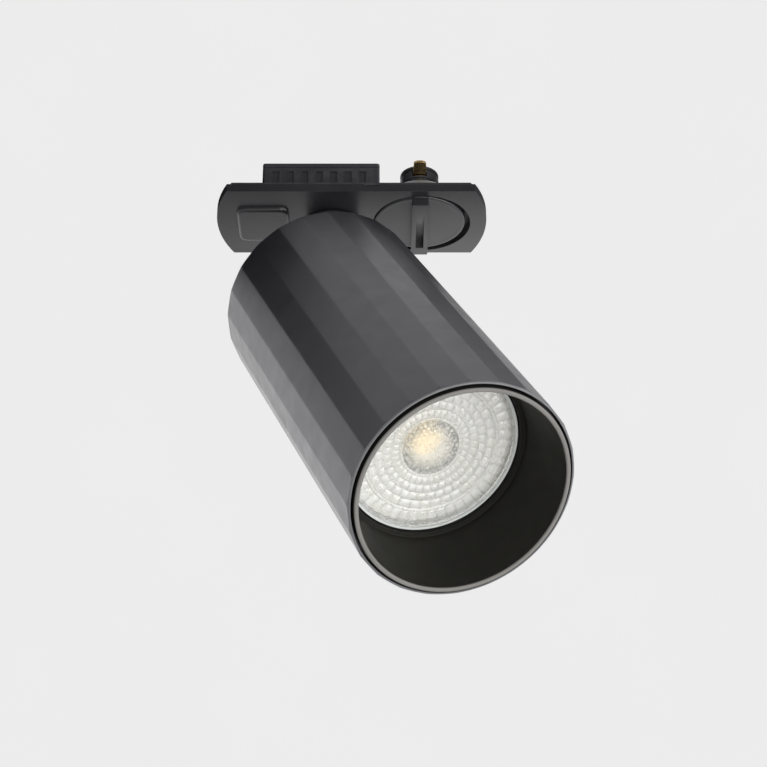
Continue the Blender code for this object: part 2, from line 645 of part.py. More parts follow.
def make_tilt_bolt(head_at):
    """The screw that is the tilt axis, and its nut."""
    head_top = head_at + 2.3 * MM
    head_radius = 3.6 * MM
    tip = -head_at - 2.8 * MM
    bolt = [
        (0, head_top),
        (head_radius - 0.6 * MM, head_top),
        (head_radius, head_top - 0.6 * MM),
        (head_radius, head_at),
        (HINGE_PIN_RADIUS, head_at),
        (HINGE_PIN_RADIUS, tip),
        (0, tip),
    ]
    turned("tilt_screw", bolt, STEEL, tilt_axis, SMALL, turn=AXIS_X)
    nut("tilt_nut", 2.2 * MM, 3.9 * MM, -head_at - 2.4 * MM, -head_at, tilt_axis, AXIS_X)


def make_rear_cap():
    edge = 0.4 * MM
    profile = [
        (0, CAP_OUTER),
        (CAP_RADIUS - edge, CAP_OUTER),
        (CAP_RADIUS, CAP_OUTER - edge),
        (CAP_RADIUS, CAP_INNER),
        (0, CAP_INNER),
    ]
    cap = turned("rear_cap", profile, BLACK_PAINT, tilt_axis, ROUND)
    below = CAP_INNER - MM
    above = CAP_OUTER + MM
    holes = [(0, y, 1.6 * MM, below, above) for y in (BRACKET_SCREW_Y, -BRACKET_SCREW_Y)]
    holes += [(x, 0, 1.7 * MM, below, above) for x in (FOOT_X, -FOOT_X)]
    holes.append((0, GROMMET_Y, 3.4 * MM, below, above))
    drill(cap, holes, tilt_axis, SMALL)
    for number, x in enumerate((FOOT_X, -FOOT_X), 1):
        at = (x, 0, CAP_OUTER + GAP)
        pan_screw(f"cap_screw_{number}", at, tilt_axis, 3.0 * MM, 1.9 * MM, 1.35 * MM, 7.0 * MM)


def make_grommet():
    lip = 1.1 * MM
    sleeve = [
        (1.8 * MM, CAP_OUTER + GAP + lip),
        (4.2 * MM, CAP_OUTER + GAP + lip),
        (4.6 * MM, CAP_OUTER + GAP),
        (3.1 * MM, CAP_OUTER + GAP),
        (3.1 * MM, CAP_INNER - GAP),
        (4.4 * MM, CAP_INNER - GAP),
        (4.4 * MM, CAP_INNER - GAP - lip),
        (1.8 * MM, CAP_INNER - GAP - lip),
    ]
    turned("cap_grommet", sleeve, RUBBER, tilt_axis, SMALL, (0, GROMMET_Y, 0), ring=True)


def make_body():
    """A prism of flat facets, turned true at both ends by the shape it is intersected with."""
    corner = HEAD_CORNER_RADIUS
    prism = [(0, HEAD_REAR), (corner, HEAD_REAR), (corner, BODY_FRONT), (0, BODY_FRONT)]
    half_facet = math.pi / FACETS
    body = turned("head_body", prism, BLACK_PAINT, tilt_axis, FACETS, turn=(0, 0, half_facet))
    outer = corner + 0.2 * MM
    lip = 0.7 * MM
    rear_edge = 0.4 * MM
    limits = [
        (0, HEAD_REAR + MM),
        (corner - rear_edge - MM, HEAD_REAR + MM),
        (outer, HEAD_REAR - rear_edge - 0.2 * MM),
        (outer, BODY_FRONT + lip),
        (outer - lip - 0.4 * MM, BODY_FRONT - 0.4 * MM),
        (0, BODY_FRONT - 0.4 * MM),
    ]
    combine(body, turned("head_body_limits", limits, STEEL, tilt_axis, FINE), "INTERSECT")
    groove_floor = BODY_FRONT + GROOVE_DEPTH
    bore = [
        (0, HEAD_REAR + MM),
        (HEAD_BORE_RADIUS, HEAD_REAR + MM),
        (HEAD_BORE_RADIUS, groove_floor),
        (GROOVE_RADIUS, groove_floor),
        (GROOVE_RADIUS, BODY_FRONT - MM),
        (0, BODY_FRONT - MM),
    ]
    cut(body, turned("head_body_bore", bore, STEEL, tilt_axis, FINE))


def make_snoot():
    flange_rear = BODY_FRONT + GROOVE_DEPTH - 0.4 * MM
    sleeve_radius = 28.9 * MM
    sleeve_rear = LAMP_FACE + 0.4 * MM
    floor_front = LAMP_FACE - 1.1 * MM
    grip_at = BODY_FRONT + 8 * MM
    grip_half = 0.6 * MM
    grip_radius = 28.35 * MM
    profile = [
        (LAMP_RADIUS + 0.4 * MM, sleeve_rear),
        (sleeve_radius, sleeve_rear),
        (sleeve_radius, grip_at + grip_half),
        (grip_radius, grip_at + grip_half),
        (grip_radius, grip_at - grip_half),
        (sleeve_radius, grip_at - grip_half),
        (sleeve_radius, flange_rear),
        (TRIM_RADIUS, flange_rear),
        (TRIM_RADIUS, TRIM_FRONT),
        (SNOOT_MOUTH_RADIUS, TRIM_FRONT),
        (SNOOT_THROAT_RADIUS, floor_front),
        (LAMP_RADIUS + 0.4 * MM, floor_front),
    ]
    turned("snoot", profile, SNOOT_BLACK, tilt_axis, FINE, ring=True)
    ring_radius = 28.9 * MM
    ring_section = arc(ring_radius, grip_at, 0.3 * MM, 90, -210, 5)
    turned("snoot_grip_ring", ring_section, RUBBER, tilt_axis, ROUND, ring=True)


# Lamp and its holder


def make_lamp():
    bezel_rear = LAMP_FACE + 2.8 * MM
    lens_radius = 23.5 * MM
    bezel = [
        (lens_radius + 0.3 * MM, bezel_rear),
        (LAMP_RADIUS, bezel_rear),
        (LAMP_RADIUS, LAMP_FACE + 0.4 * MM),
        (LAMP_RADIUS - 0.4 * MM, LAMP_FACE),
        (lens_radius + 0.5 * MM, LAMP_FACE),
        (lens_radius + 0.3 * MM, LAMP_FACE + 0.2 * MM),
    ]
    turned("lamp_bezel", bezel, WHITE_PLASTIC, tilt_axis, FINE, ring=True)
    lens_face = LAMP_FACE + 0.7 * MM
    eye_radius = 8.5 * MM
    lens = [
        (0, bezel_rear),
        (lens_radius, bezel_rear),
        (lens_radius, lens_face),
        (eye_radius + 1.2 * MM, lens_face),
        (eye_radius, lens_face + 0.6 * MM),
        (eye_radius - 2.5 * MM, lens_face - 0.2 * MM),
        (0, lens_face - 0.7 * MM),
    ]
    turned("lamp_lens", lens, LENS, tilt_axis, ROUND)
    make_lamp_shell(bezel_rear + GAP)
    board_front = bezel_rear + 4.4 * MM
    board_rear = board_front + 1.4 * MM
    rod("led_board", 20.5 * MM, board_front, board_rear, WHITE_PLASTIC, tilt_axis, ROUND)
    rod("led_chip", 4.5 * MM, board_front - GAP - 0.8 * MM, board_front - GAP, PHOSPHOR, tilt_axis, SMALL)


def make_lamp_shell(shell_front):
    """A bell-shaped reflector body, from the bezel back to the neck."""
    wall = 1.2 * MM
    neck_radius = 14.0 * MM
    rows = 5
    outer = []
    for row in range(rows + 1):
        share = row / rows
        height = LAMP_NECK + (shell_front - LAMP_NECK) * share
        bell = math.sin(share * math.pi / 2) ** 0.9
        outer.append((neck_radius + (LAMP_RADIUS - neck_radius) * bell, height))
    inner = [(radius - wall, height) for radius, height in reversed(outer)]
    turned("lamp_shell", outer + inner, WHITE_PLASTIC, tilt_axis, ROUND, ring=True)


def make_lamp_base():
    front = LAMP_NECK + GAP
    outer = 12.4 * MM
    inner = 10.8 * MM
    floor = LAMP_BASE_END - 2 * MM
    cup = [
        (0, LAMP_BASE_END),
        (outer - 1.0 * MM, LAMP_BASE_END),
        (outer, LAMP_BASE_END - 1.0 * MM),
        (outer, front),
        (inner, front),
        (inner, floor),
        (0, floor),
    ]
    base = turned("lamp_base", cup, WHITE_PLASTIC, tilt_axis, ROUND)
    drill(base, [(0, y, 1.9 * MM, floor - MM, LAMP_BASE_END + MM) for y in PIN_ROWS_Y], tilt_axis)
    tip = LAMP_BASE_END + PIN_LENGTH
    step = tip - 3.4 * MM
    root = floor - 1.5 * MM
    button = 2.5 * MM
    stalk = 1.6 * MM
    edge = 0.4 * MM
    pin = [(0, tip), (button - edge, tip), (button, tip - edge), (button, step)]
    pin += [(stalk, step), (stalk, root), (0, root)]
    for number, y in enumerate(PIN_ROWS_Y, 1):
        turned(f"lamp_pin_{number}", pin, STEEL, tilt_axis, TINY, (0, y, 0))
    make_driver(front + MM, floor - GAP)


def make_driver(bottom, top):
    """The lamp's circuit board and its largest component, inside the lamp base."""
    board_low = (4.0 * MM, -7.5 * MM, bottom)
    box("driver_board", board_low, (5.2 * MM, 7.5 * MM, top), CIRCUIT, tilt_axis)
    capacitor_at = (-2.0 * MM, 0, 0)
    capacitor_top = top - 2.3 * MM
    rod("driver_capacitor", 3.2 * MM, bottom, capacitor_top, BLACK_PLASTIC, tilt_axis, SMALL, capacitor_at)


def make_holder():
    edge = 0.8 * MM
    profile = [
        (0, HOLDER_REAR),
        (HOLDER_RADIUS - edge, HOLDER_REAR),
        (HOLDER_RADIUS, HOLDER_REAR - edge),
        (HOLDER_RADIUS, HOLDER_FRONT),
        (0, HOLDER_FRONT),
    ]
    holder = turned("lampholder", profile, CERAMIC, tilt_axis, ROUND)
    sockets = [(0, y, 3.0 * MM, HOLDER_FRONT - MM, HOLDER_FRONT + PIN_LENGTH + MM) for y in PIN_ROWS_Y]
    drill(holder, sockets, tilt_axis, SMALL)
    back_holes = [(x, 0, HOLDER_SCREW_HOLE, HOLDER_REAR - 6 * MM, HOLDER_REAR + MM) for x in HOLDER_SCREWS_X]
    back_holes += [(0, y, LEAD_RADIUS + GAP, HOLDER_REAR - 4 * MM, HOLDER_REAR + MM) for y in LEAD_ROWS_Y]
    drill(holder, back_holes, tilt_axis)


def make_holder_bracket():
    """A bent strap: its bar holds the lampholder, and its feet hang from the rear cap's screws."""
    strap = 1.5 * MM
    bar = HOLDER_REAR + GAP
    top = CAP_INNER - GAP
    under = top - strap
    leg = FOOT_X - 3.2 * MM
    toe = FOOT_X + 3.2 * MM
    right = [(leg - strap, bar + strap), (leg - strap, top), (toe, top)]
    right += [(toe, under), (leg, under), (leg, bar)]
    left = [(-x, z) for x, z in reversed(right)]
    half_width = 5.5 * MM
    sides = (-half_width, half_width)
    bracket = sheet("holder_bracket", right + left, *sides, STEEL, tilt_axis, turn=UPRIGHT_ACROSS_Y)
    holes = [(x, 0, HOLDER_SCREW_HOLE, bar - MM, bar + strap + MM) for x in HOLDER_SCREWS_X]
    holes += [(x, 0, 1.65 * MM, under - MM, top + MM) for x in (FOOT_X, -FOOT_X)]
    drill(bracket, holes, tilt_axis)
    for number, x in enumerate(HOLDER_SCREWS_X, 1):
        at = (x, 0, bar + strap + GAP)
        pan_screw(f"holder_screw_{number}", at, tilt_axis, 2.5 * MM, 1.5 * MM, 1.1 * MM, 6.5 * MM)


def make_leads():
    """Two insulated leads, from the back of the lampholder out through the rear cap's grommet."""
    steps = 12
    apart = 0.85 * MM
    live = ("live_lead", LEAD_ROWS_Y[0], apart, BROWN_WIRE)
    neutral = ("neutral_lead", LEAD_ROWS_Y[1], -apart, BLUE_WIRE)
    for name, start_y, x, surface in (live, neutral):
        start = Vector((0, start_y, HOLDER_REAR - 2.5 * MM))
        end = Vector((x, GROMMET_Y, CAP_OUTER + 0.5 * MM))
        route = []
        for step in range(steps + 1):
            share = step / steps
            bend = min(max(share - BEND_STARTS_AT, 0) / (BEND_ENDS_AT - BEND_STARTS_AT), 1.0)
            ease = bend * bend * (3 - 2 * bend)
            height = start.z + (end.z - start.z) * share
            route.append((end.x * min(2 * ease, 1.0), start.y + (end.y - start.y) * ease, height))
        wire(name, route, LEAD_RADIUS, surface, tilt_axis)


make_plate()
make_base()
make_housing()
make_hook()
make_earth_spring()
make_terminal_block()
make_knob()
make_knob_stack()
make_arm()
make_stop_washer()
make_knuckle()
make_hinge()
make_rear_cap()
make_grommet()
make_body()
make_snoot()
make_lamp()
make_lamp_base()
make_holder()
make_holder_bracket()
make_leads()

for part in PARTS.objects:
    if part.type == "MESH":
        part.data.shade_smooth()
        part.data.set_sharp_from_angle(angle=math.radians(30))
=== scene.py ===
"""The looks of the track spotlight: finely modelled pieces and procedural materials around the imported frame.

Each piece is made in the frame of the body that it belongs to. The adapter's frame is the model's own. The
knob's and the arm's have Z up along their turning axes. The head's has its origin on the tilt axis, X along
that axis and Z towards the head's rear, so the lamp looks along -Z.
"""

import json
import math

import bmesh
import bpy
from mathutils import Matrix, Vector


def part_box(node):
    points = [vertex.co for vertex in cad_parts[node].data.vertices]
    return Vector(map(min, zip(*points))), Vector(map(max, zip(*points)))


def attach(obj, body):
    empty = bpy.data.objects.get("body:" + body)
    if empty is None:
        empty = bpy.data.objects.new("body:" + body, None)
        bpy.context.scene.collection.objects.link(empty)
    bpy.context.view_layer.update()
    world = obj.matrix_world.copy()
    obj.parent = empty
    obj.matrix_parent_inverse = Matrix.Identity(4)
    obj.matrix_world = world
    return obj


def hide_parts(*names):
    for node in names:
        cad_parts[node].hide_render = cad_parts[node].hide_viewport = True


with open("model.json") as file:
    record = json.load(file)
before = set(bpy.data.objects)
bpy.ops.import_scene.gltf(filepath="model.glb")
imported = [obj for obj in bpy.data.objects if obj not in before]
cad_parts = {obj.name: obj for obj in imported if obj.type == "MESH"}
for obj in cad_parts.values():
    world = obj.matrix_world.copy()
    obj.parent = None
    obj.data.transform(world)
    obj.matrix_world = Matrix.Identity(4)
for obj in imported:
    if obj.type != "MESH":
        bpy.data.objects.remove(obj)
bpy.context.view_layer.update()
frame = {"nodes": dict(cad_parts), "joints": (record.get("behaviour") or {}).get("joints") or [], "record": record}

MM = 0.001
SCENE = bpy.context.scene
RECORD = frame["record"]
SLOT_OF = {part["node"]: part["material_slot"] for part in RECORD["subparts"]}
BODY_OF = {node: body for body, nodes in RECORD["behaviour"]["bodies"].items() for node in nodes}
JOINTS = {joint["name"]: joint for joint in frame["joints"]}


# Frames of the bodies


def across_frame(origin):
    """A frame with the tilt axis as X and Z up."""
    across = Vector(JOINTS["tilt"]["axis"]).normalized()
    up = Vector((0, 0, 1))
    turn = Matrix((across, up.cross(across), up)).transposed()
    return Matrix.Translation(origin) @ turn.to_4x4()


ADAPTER = Matrix.Identity(4)
KNOB = Matrix.Translation(JOINTS["knob_turn"]["pos_m"])
ARM = across_frame(JOINTS["pan"]["pos_m"])
REST_TILT = math.radians(-JOINTS["tilt"]["range_deg"][0])
HEAD = across_frame(JOINTS["tilt"]["pos_m"]) @ Matrix.Rotation(REST_TILT, 4, "X")
ALONG_X = Matrix.Rotation(math.pi / 2, 4, "Y")
UPRIGHT_ACROSS_X = Matrix.Rotation(-math.pi / 2, 4, "Y")
UPRIGHT_ACROSS_Y = Matrix.Rotation(math.pi / 2, 4, "X")


def corners_of(node, place):
    """A node's vertices, in a body's frame."""
    inverse = place.inverted()
    return [inverse @ vertex.co for vertex in frame["nodes"][node].data.vertices]


def spans(node, place):
    """A node's lowest and highest corners, in a body's frame."""
    found = corners_of(node, place)
    low = Vector([min(point[axis] for point in found) for axis in range(3)])
    high = Vector([max(point[axis] for point in found) for axis in range(3)])
    return low, high


def middle_of(node, place):
    low, high = spans(node, place)
    return (low + high) / 2


def outline_of(node, place):
    """A turned node's own axis, and its (radius, height) outline from the top down its outer side."""
    centre = middle_of(node, place)
    seen = set()
    for point in corners_of(node, place):
        radius = math.hypot(point.x - centre.x, point.y - centre.y)
        seen.add((round(radius, 5), round(point.z, 5)))
    top = max(height for _, height in seen)
    outline = sorted(seen, key=lambda at: (-at[1], at[0] if at[1] == top else -at[0]))
    return Matrix.Translation((centre.x, centre.y, 0)), outline


# Materials


# A finish is a colour, a roughness, its grain's size and its grain's depth. INSULATION leaves out the colour.
PAINT_FINISH = ((0.017, 0.0165, 0.0205), 0.36, 0.22 * MM, 0.006 * MM)
PAINT_GLOSS = {"Specular IOR Level": 0.61, "Specular Tint": (0.95, 0.92, 1.0, 1)}
PLATE_FINISH = ((0.02, 0.02, 0.0225), 0.32, 0.22 * MM, 0.004 * MM)
# The white plastic's edge colour: its wear and its painted edge highlight.
WORN_AND_HIGHLIT_WHITE = (0.9, 0.9, 0.88)
SNOOT_TONE = (0.0165, 0.016, 0.0132)
SNOOT_GLOSS = {"Specular IOR Level": 0.16}
INSULATION = (0.42, 0.3 * MM, 0.008 * MM)

# The bare metal that shows on the turned edges at the head's front.
BODY_FRONT = spans("head_body", HEAD)[0].z
TRIM_FRONT = spans("snoot", HEAD)[0].z
RIM_METAL = (0.205, 0.198, 0.187)
LIP_METAL = (0.15, 0.15, 0.155)
RIM_METALLIC = 0.3
RIM_DEPTH = 0.55 * MM

# Painted shade on the adapter's underside, by its specular level, which rises towards its back edge: from and to
# in metres, then the level at each.
PAINTED_SHADE_ACROSS = (-16 * MM, 18 * MM, 0.3, 1.65)
PAINTED_SHADE_ALONG = (-42 * MM, 4 * MM, 0.5, 1.0)

# The lamp's lens, outwards from its axis.
DIMPLE_PITCH = 1.15 * MM
DIMPLE_ROWS = (0, math.radians(60), math.radians(120))
EYE_RADIUS = 8.0 * MM
EYE_EDGE = 9.0 * MM
PILLOW_PITCH = 2.4 * MM
PILLOWS_AROUND = 36
PILLOWS_END = 18.6 * MM
RIBS_START = 19.6 * MM
RIBS_END = 23.0 * MM
RIBS_AROUND = 48
LENS_RADIUS = 24.2 * MM


class Graph:
    """A material's node tree, with short calls that add nodes and join them."""

    def __init__(self, name, settings):
        self.name = name
        self.material = bpy.data.materials.new(name)
        self.material.use_nodes = True
        self.tree = self.material.node_tree
        self.shader = self.tree.nodes["Principled BSDF"]
        self.place = self.add("ShaderNodeTexCoord").outputs["Object"]
        for socket, value in settings.items():
            self.use(socket, value)

    def put(self, socket, value):
        if isinstance(value, bpy.types.NodeSocket):
            self.tree.links.new(value, socket)
        else:
            socket.default_value = value

    def add(self, kind, inputs=None, **settings):
        made = self.tree.nodes.new(kind)
        for name, value in settings.items():
            setattr(made, name, value)
        for name, value in (inputs or {}).items():
            self.put(made.inputs[name], value)
        return made

    def use(self, socket, value):
        """Gives the surface shader a value or a node's output."""
        self.put(self.shader.inputs[socket], value)

    def dots(self, size):
        """The distance from the nearest of many scattered points, size apart, as a share of size."""
        inputs = {"Vector": self.place, "Scale": 1 / size}
        return self.add("ShaderNodeTexVoronoi", inputs).outputs["Distance"]

    def noise(self, size, detail=2.0, vector=None):
        """Noise whose features are about size metres across."""
        inputs = {"Vector": vector or self.place, "Scale": 1 / size, "Detail": detail}
        return self.add("ShaderNodeTexNoise", inputs).outputs[0]

    def stretched(self, x, y, z):
        return self.add("ShaderNodeMapping", {"Vector": self.place, "Scale": (x, y, z)}).outputs[0]

    def maths(self, operation, *values):
        made = self.add("ShaderNodeMath", operation=operation)
        for socket, value in zip(made.inputs, values):
            self.put(socket, value)
        return made.outputs[0]

    def spread(self, value, start, end, low=0.0, high=1.0, smooth=False):
        """Maps start..end to low..high, held at both ends."""
        inputs = {"Value": value, "From Min": start, "From Max": end, "To Min": low, "To Max": high}
        kind = "SMOOTHSTEP" if smooth else "LINEAR"
        return self.add("ShaderNodeMapRange", inputs, interpolation_type=kind).outputs[0]

    def mix(self, share, first, second):
        """A colour between two colours."""
        made = self.add("ShaderNodeMix", data_type="RGBA")
        for index, value in ((0, share), (6, first), (7, second)):
            self.put(made.inputs[index], value)
        return made.outputs[2]

    def bump(self, height, distance, strength=1.0):
        inputs = {"Height": height, "Distance": distance, "Strength": strength}
        normal = self.add("ShaderNodeBump", inputs).outputs[0]
        self.use("Normal", normal)

    def worn_and_highlit_edges(self, colour, edge_colour, share):
        """Lightens the sharp outer edges: partly wear, where a finish rubs thin, and partly a painted highlight.
        """
        pointed = self.add("ShaderNodeNewGeometry").outputs["Pointiness"]
        edge = self.spread(pointed, 0.52, 0.62, 0.0, share)
        patchy = self.maths("MULTIPLY", edge, self.spread(self.noise(3 * MM), 0.35, 0.65))
        return self.mix(patchy, colour, edge_colour)

    def polar(self):
        """The radius and the angle about the piece's own Z, and the height along it."""
        parts = self.add("ShaderNodeSeparateXYZ", {"Vector": self.place}).outputs
        radius = self.maths("SQRT", self.maths("ADD", self.square(parts[0]), self.square(parts[1])))
        return radius, self.maths("ARCTAN2", parts[1], parts[0]), parts[2]

    def square(self, value):
        return self.maths("MULTIPLY", value, value)


def shade(colour, factor=1.0):
    return (*(channel * factor for channel in colour), 1.0)


def coated(name, colour, roughness, grain, depth, edge=(0.16, 0.16, 0.17), wear_and_highlight=0.25, **settings):
    """A painted or moulded finish: cloudy tone, uneven gloss, fine grain, and edges lightened partly by wear and
    partly by a painted highlight.
    """
    graph = Graph(name, {"Specular IOR Level": 0.5, **settings})
    cloudy = graph.spread(graph.noise(22 * MM, 4.0), 0.3, 0.7)
    tone = graph.mix(cloudy, shade(colour, 0.84), shade(colour, 1.16))
    graph.use("Base Color", graph.worn_and_highlit_edges(tone, shade(edge), wear_and_highlight))
    uneven = graph.spread(graph.noise(6 * MM, 3.0), 0.3, 0.7, roughness - 0.03, roughness + 0.03)
    graph.use("Roughness", uneven)
    fine = graph.noise(grain, 3.0)
    broad = graph.noise(12 * grain, 2.0)
    graph.bump(graph.maths("ADD", fine, graph.maths("MULTIPLY", broad, 0.12)), depth)
    return graph


def turned_rim(graph, front, colour):
    """Shows a head piece's turned front edge as bare metal, fading out behind its front."""
    rings = graph.noise(0.25 * MM, 2.0, graph.stretched(0.02, 0.02, 1.0))
    bare = graph.mix(rings, shade(colour, 0.85), shade(colour, 1.15))
    share = graph.spread(graph.polar()[2], front + RIM_DEPTH, front + RIM_DEPTH * 0.6, smooth=True)
    painted = graph.shader.inputs["Base Color"].links[0].from_socket
    graph.use("Base Color", graph.mix(share, painted, bare))
    graph.use("Metallic", graph.maths("MULTIPLY", share, RIM_METALLIC))
    return graph


def painted_shade_at_one_corner(graph):
    """Paints shade on the adapter's underside: its specular level falls towards its front edge and its left end,
    so it is less glossy and darker there.
    """
    along, across, _ = graph.add("ShaderNodeSeparateXYZ", {"Vector": graph.place}).outputs
    cloud = graph.maths("MULTIPLY", graph.noise(14 * MM, 2.0), 8 * MM)
    level = graph.spread(graph.maths("ADD", across, cloud), *PAINTED_SHADE_ACROSS)
    level = graph.maths("MULTIPLY", level, graph.spread(along, *PAINTED_SHADE_ALONG))
    graph.use("Specular IOR Level", level)
    return graph


def metal(name, colour, tint, roughness):
    """Plated or bare metal: fine brushing, a cloudy second tint and smudges."""
    graph = Graph(name, {"Metallic": 1.0})
    cloudy = graph.spread(graph.noise(5 * MM, 4.0), 0.35, 0.65)
    graph.use("Base Color", graph.mix(cloudy, shade(colour), shade(tint)))
    lines = graph.noise(0.35 * MM, 5.0, graph.stretched(1.0, 1.0, 12.0))
    smudge = graph.noise(3 * MM, 3.0)
    brushed = graph.spread(lines, 0.3, 0.7, roughness - 0.06, roughness + 0.08)
    graph.use("Roughness", graph.maths("ADD", brushed, graph.spread(smudge, 0.3, 0.7, 0.0, 0.1)))
    graph.bump(lines, 0.004 * MM)
    return graph


def ceramic():
    """Unglazed ceramic, with pores."""
    graph = Graph("ceramic", {"Roughness": 0.62})
    pores = graph.spread(graph.noise(0.5 * MM, 4.0), 0.28, 0.4)
    tone = graph.mix(graph.noise(9 * MM, 3.0), (0.72, 0.69, 0.62, 1), (0.86, 0.83, 0.77, 1))
    graph.use("Base Color", graph.mix(pores, (0.5, 0.47, 0.41, 1), tone))
    graph.bump(pores, 0.05 * MM, 0.6)
    return graph


def circuit_board():
    """Green varnish over copper tracks, which show as a slightly raised lighter pattern."""
    graph = Graph("circuit_board", {"Roughness": 0.3, "Coat Weight": 0.4})
    cells = {"Vector": graph.place, "Scale": 420.0}
    tracks = graph.add("ShaderNodeTexBrick", cells, offset=0.5).outputs["Fac"]
    graph.use("Base Color", graph.mix(tracks, (0.012, 0.1, 0.045, 1), (0.05, 0.24, 0.1, 1)))
    graph.bump(tracks, 0.03 * MM)
    return graph


def lamp_lens():
    """Clear moulded plastic: hazy cells, painted shade on their borders and between the eye's dimples, and a
    painted warm glow over its middle.
    """
    graph = Graph("lamp_lens", {"IOR": 1.49, "Roughness": 0.04, "Coat Weight": 0.5, "Coat Roughness": 0.02})
    radius, angle, _ = graph.polar()
    across = graph.maths("DIVIDE", graph.maths("SUBTRACT", radius, EYE_EDGE), PILLOW_PITCH)
    ring = graph.maths("FLOOR", across)
    turn = graph.maths("MULTIPLY", angle, PILLOWS_AROUND / math.tau)
    shifted = graph.maths("ADD", turn, graph.maths("MULTIPLY", ring, 0.5))
    cell = graph.add("ShaderNodeCombineXYZ", {"X": ring, "Y": graph.maths("FLOOR", shifted)}).outputs[0]
    picked = graph.add("ShaderNodeTexWhiteNoise", {"Vector": cell}).outputs[0]
    patches = graph.spread(graph.noise(9 * MM, 2.0), 0.35, 0.65)
    level = graph.maths("ADD", graph.maths("MULTIPLY", picked, 0.5), graph.maths("MULTIPLY", patches, 0.5))
    rib = graph.maths("MULTIPLY", angle, RIBS_AROUND / math.tau)
    # Painted shade: the borders between the cells and between the ribs are darkened.
    in_cells = graph.maths("MULTIPLY", border(graph, across), border(graph, shifted))
    outside = graph.maths("GREATER_THAN", radius, RIBS_START)
    lines = graph.add("ShaderNodeMix", data_type="FLOAT")
    for index, value in ((0, outside), (2, in_cells), (3, border(graph, rib))):
        graph.put(lines.inputs[index], value)
    # Painted shade between the eye's dimples, growing towards the eye's edge.
    dimple = graph.spread(graph.dots(DIMPLE_PITCH), 0.2, 0.55, 1.0, 0.15)
    eye = graph.maths("LESS_THAN", radius, EYE_RADIUS)
    far = graph.spread(radius, 3.0 * MM, 6.5 * MM)
    painted_dimple_shade = graph.maths("MULTIPLY", graph.maths("MULTIPLY", eye, far), graph.maths("SUBTRACT", 1.0, dimple))
    tone = graph.mix(level, (0.88, 0.885, 0.85, 1), (0.99, 0.99, 0.985, 1))
    tone = graph.mix(lines.outputs[0], (0.8, 0.805, 0.77, 1), tone)
    tone = graph.mix(painted_dimple_shade, tone, (0.34, 0.35, 0.35, 1))
    # Painted glow: the lens is warmer over its middle, where the lamp's light comes through.
    middle = graph.spread(radius, 8.4 * MM, 3 * MM, smooth=True)
    painted_glow = graph.mix(graph.maths("MULTIPLY", middle, 0.6), tone, (1.0, 0.97, 0.88, 1))
    graph.use("Base Color", painted_glow)
    graph.use("Transmission Weight", graph.spread(level, 0.2, 0.8, 0.8, 0.66))
    return graph


def border(graph, place):
    """0 on the borders between cells of length 1, rising to 1 inside them."""
    return graph.spread(graph.maths("PINGPONG", place, 0.5), 0.02, 0.16)


def glowing(name, colour, light, strength, speckle, middle=None):
    """A lit surface of one speckled colour. Middle is where a warmer one starts and ends, and that colour."""
    graph = Graph(name, {"Roughness": 0.6, "Emission Strength": strength})
    grain = graph.spread(graph.dots(speckle), 0.1, 0.6, 0.75, 1.0)
    graph.use("Base Color", graph.mix(grain, shade(colour, 0.8), shade(colour)))
    lit = graph.mix(grain, shade(light, 0.8), shade(light))
    if middle:
        inner, outer, warm = middle
        share = graph.spread(graph.polar()[0], outer, inner, smooth=True)
        lit = graph.mix(share, lit, shade(warm))
    graph.use("Emission Color", lit)
    return graph


# One for each of the CAD's material slots, by its name.
SLOT_SURFACES = (
    coated("satin_black", *PAINT_FINISH, **PAINT_GLOSS),
    coated("black_plastic", (0.03, 0.03, 0.034), 0.46, 0.3 * MM, 0.012 * MM, wear_and_highlight=0.15),
    coated("snoot_black", SNOOT_TONE, 0.62, 0.2 * MM, 0.01 * MM, wear_and_highlight=0.0),
    metal("zinc_steel", (0.62, 0.64, 0.68), (0.55, 0.53, 0.47), 0.26),
    metal("brass", (0.83, 0.62, 0.3), (0.7, 0.47, 0.2), 0.22),
    ceramic(),
    coated("white_plastic", (0.8, 0.8, 0.78), 0.34, 0.4 * MM, 0.01 * MM, edge=WORN_AND_HIGHLIT_WHITE),
    lamp_lens(),
    glowing("phosphor", (0.95, 0.8, 0.4), (1.0, 0.83, 0.58), 1.2, 0.4 * MM),
    circuit_board(),
    coated("rubber", (0.018, 0.018, 0.018), 0.78, 0.15 * MM, 0.02 * MM, wear_and_highlight=0.0),
    coated("brown_insulation", (0.16, 0.07, 0.03), *INSULATION),
    coated("blue_insulation", (0.03, 0.12, 0.45), *INSULATION),
)
SURFACES = {graph.name: graph for graph in SLOT_SURFACES}
HEAD_PAINT = turned_rim(coated("head_paint", *PAINT_FINISH, **PAINT_GLOSS), BODY_FRONT, LIP_METAL)
SNOOT_FINISH = coated("snoot_finish", SNOOT_TONE, 0.6, 0.2 * MM, 0.01 * MM, wear_and_highlight=0.0, **SNOOT_GLOSS)
SNOOT_BLACK = turned_rim(SNOOT_FINISH, TRIM_FRONT, RIM_METAL)
# The plate's and the knob's paint, with painted shade towards the plate's front edge and left end.
PLATE_PAINT = painted_shade_at_one_corner(coated("plate_paint", *PLATE_FINISH, wear_and_highlight=0.0))
CHIP_MIDDLE = (1.2 * MM, 4.4 * MM, (1.3, 0.98, 0.6))
LIT_CHIP = glowing("lit_chip", (0.95, 0.85, 0.6), (0.9, 0.8, 0.64), 0.68, 0.5 * MM, CHIP_MIDDLE)
BOARD_MIDDLE = (4.0 * MM, 13.0 * MM, (1.05, 0.97, 0.87))
LIT_BOARD = glowing("lit_board", (0.85, 0.85, 0.83), (0.95, 0.94, 0.92), 0.44, 2.0 * MM, BOARD_MIDDLE)
LIT_BEZEL = glowing("lit_bezel", (0.6, 0.62, 0.6), (0.97, 1.0, 0.96), 0.12, 3.0 * MM)


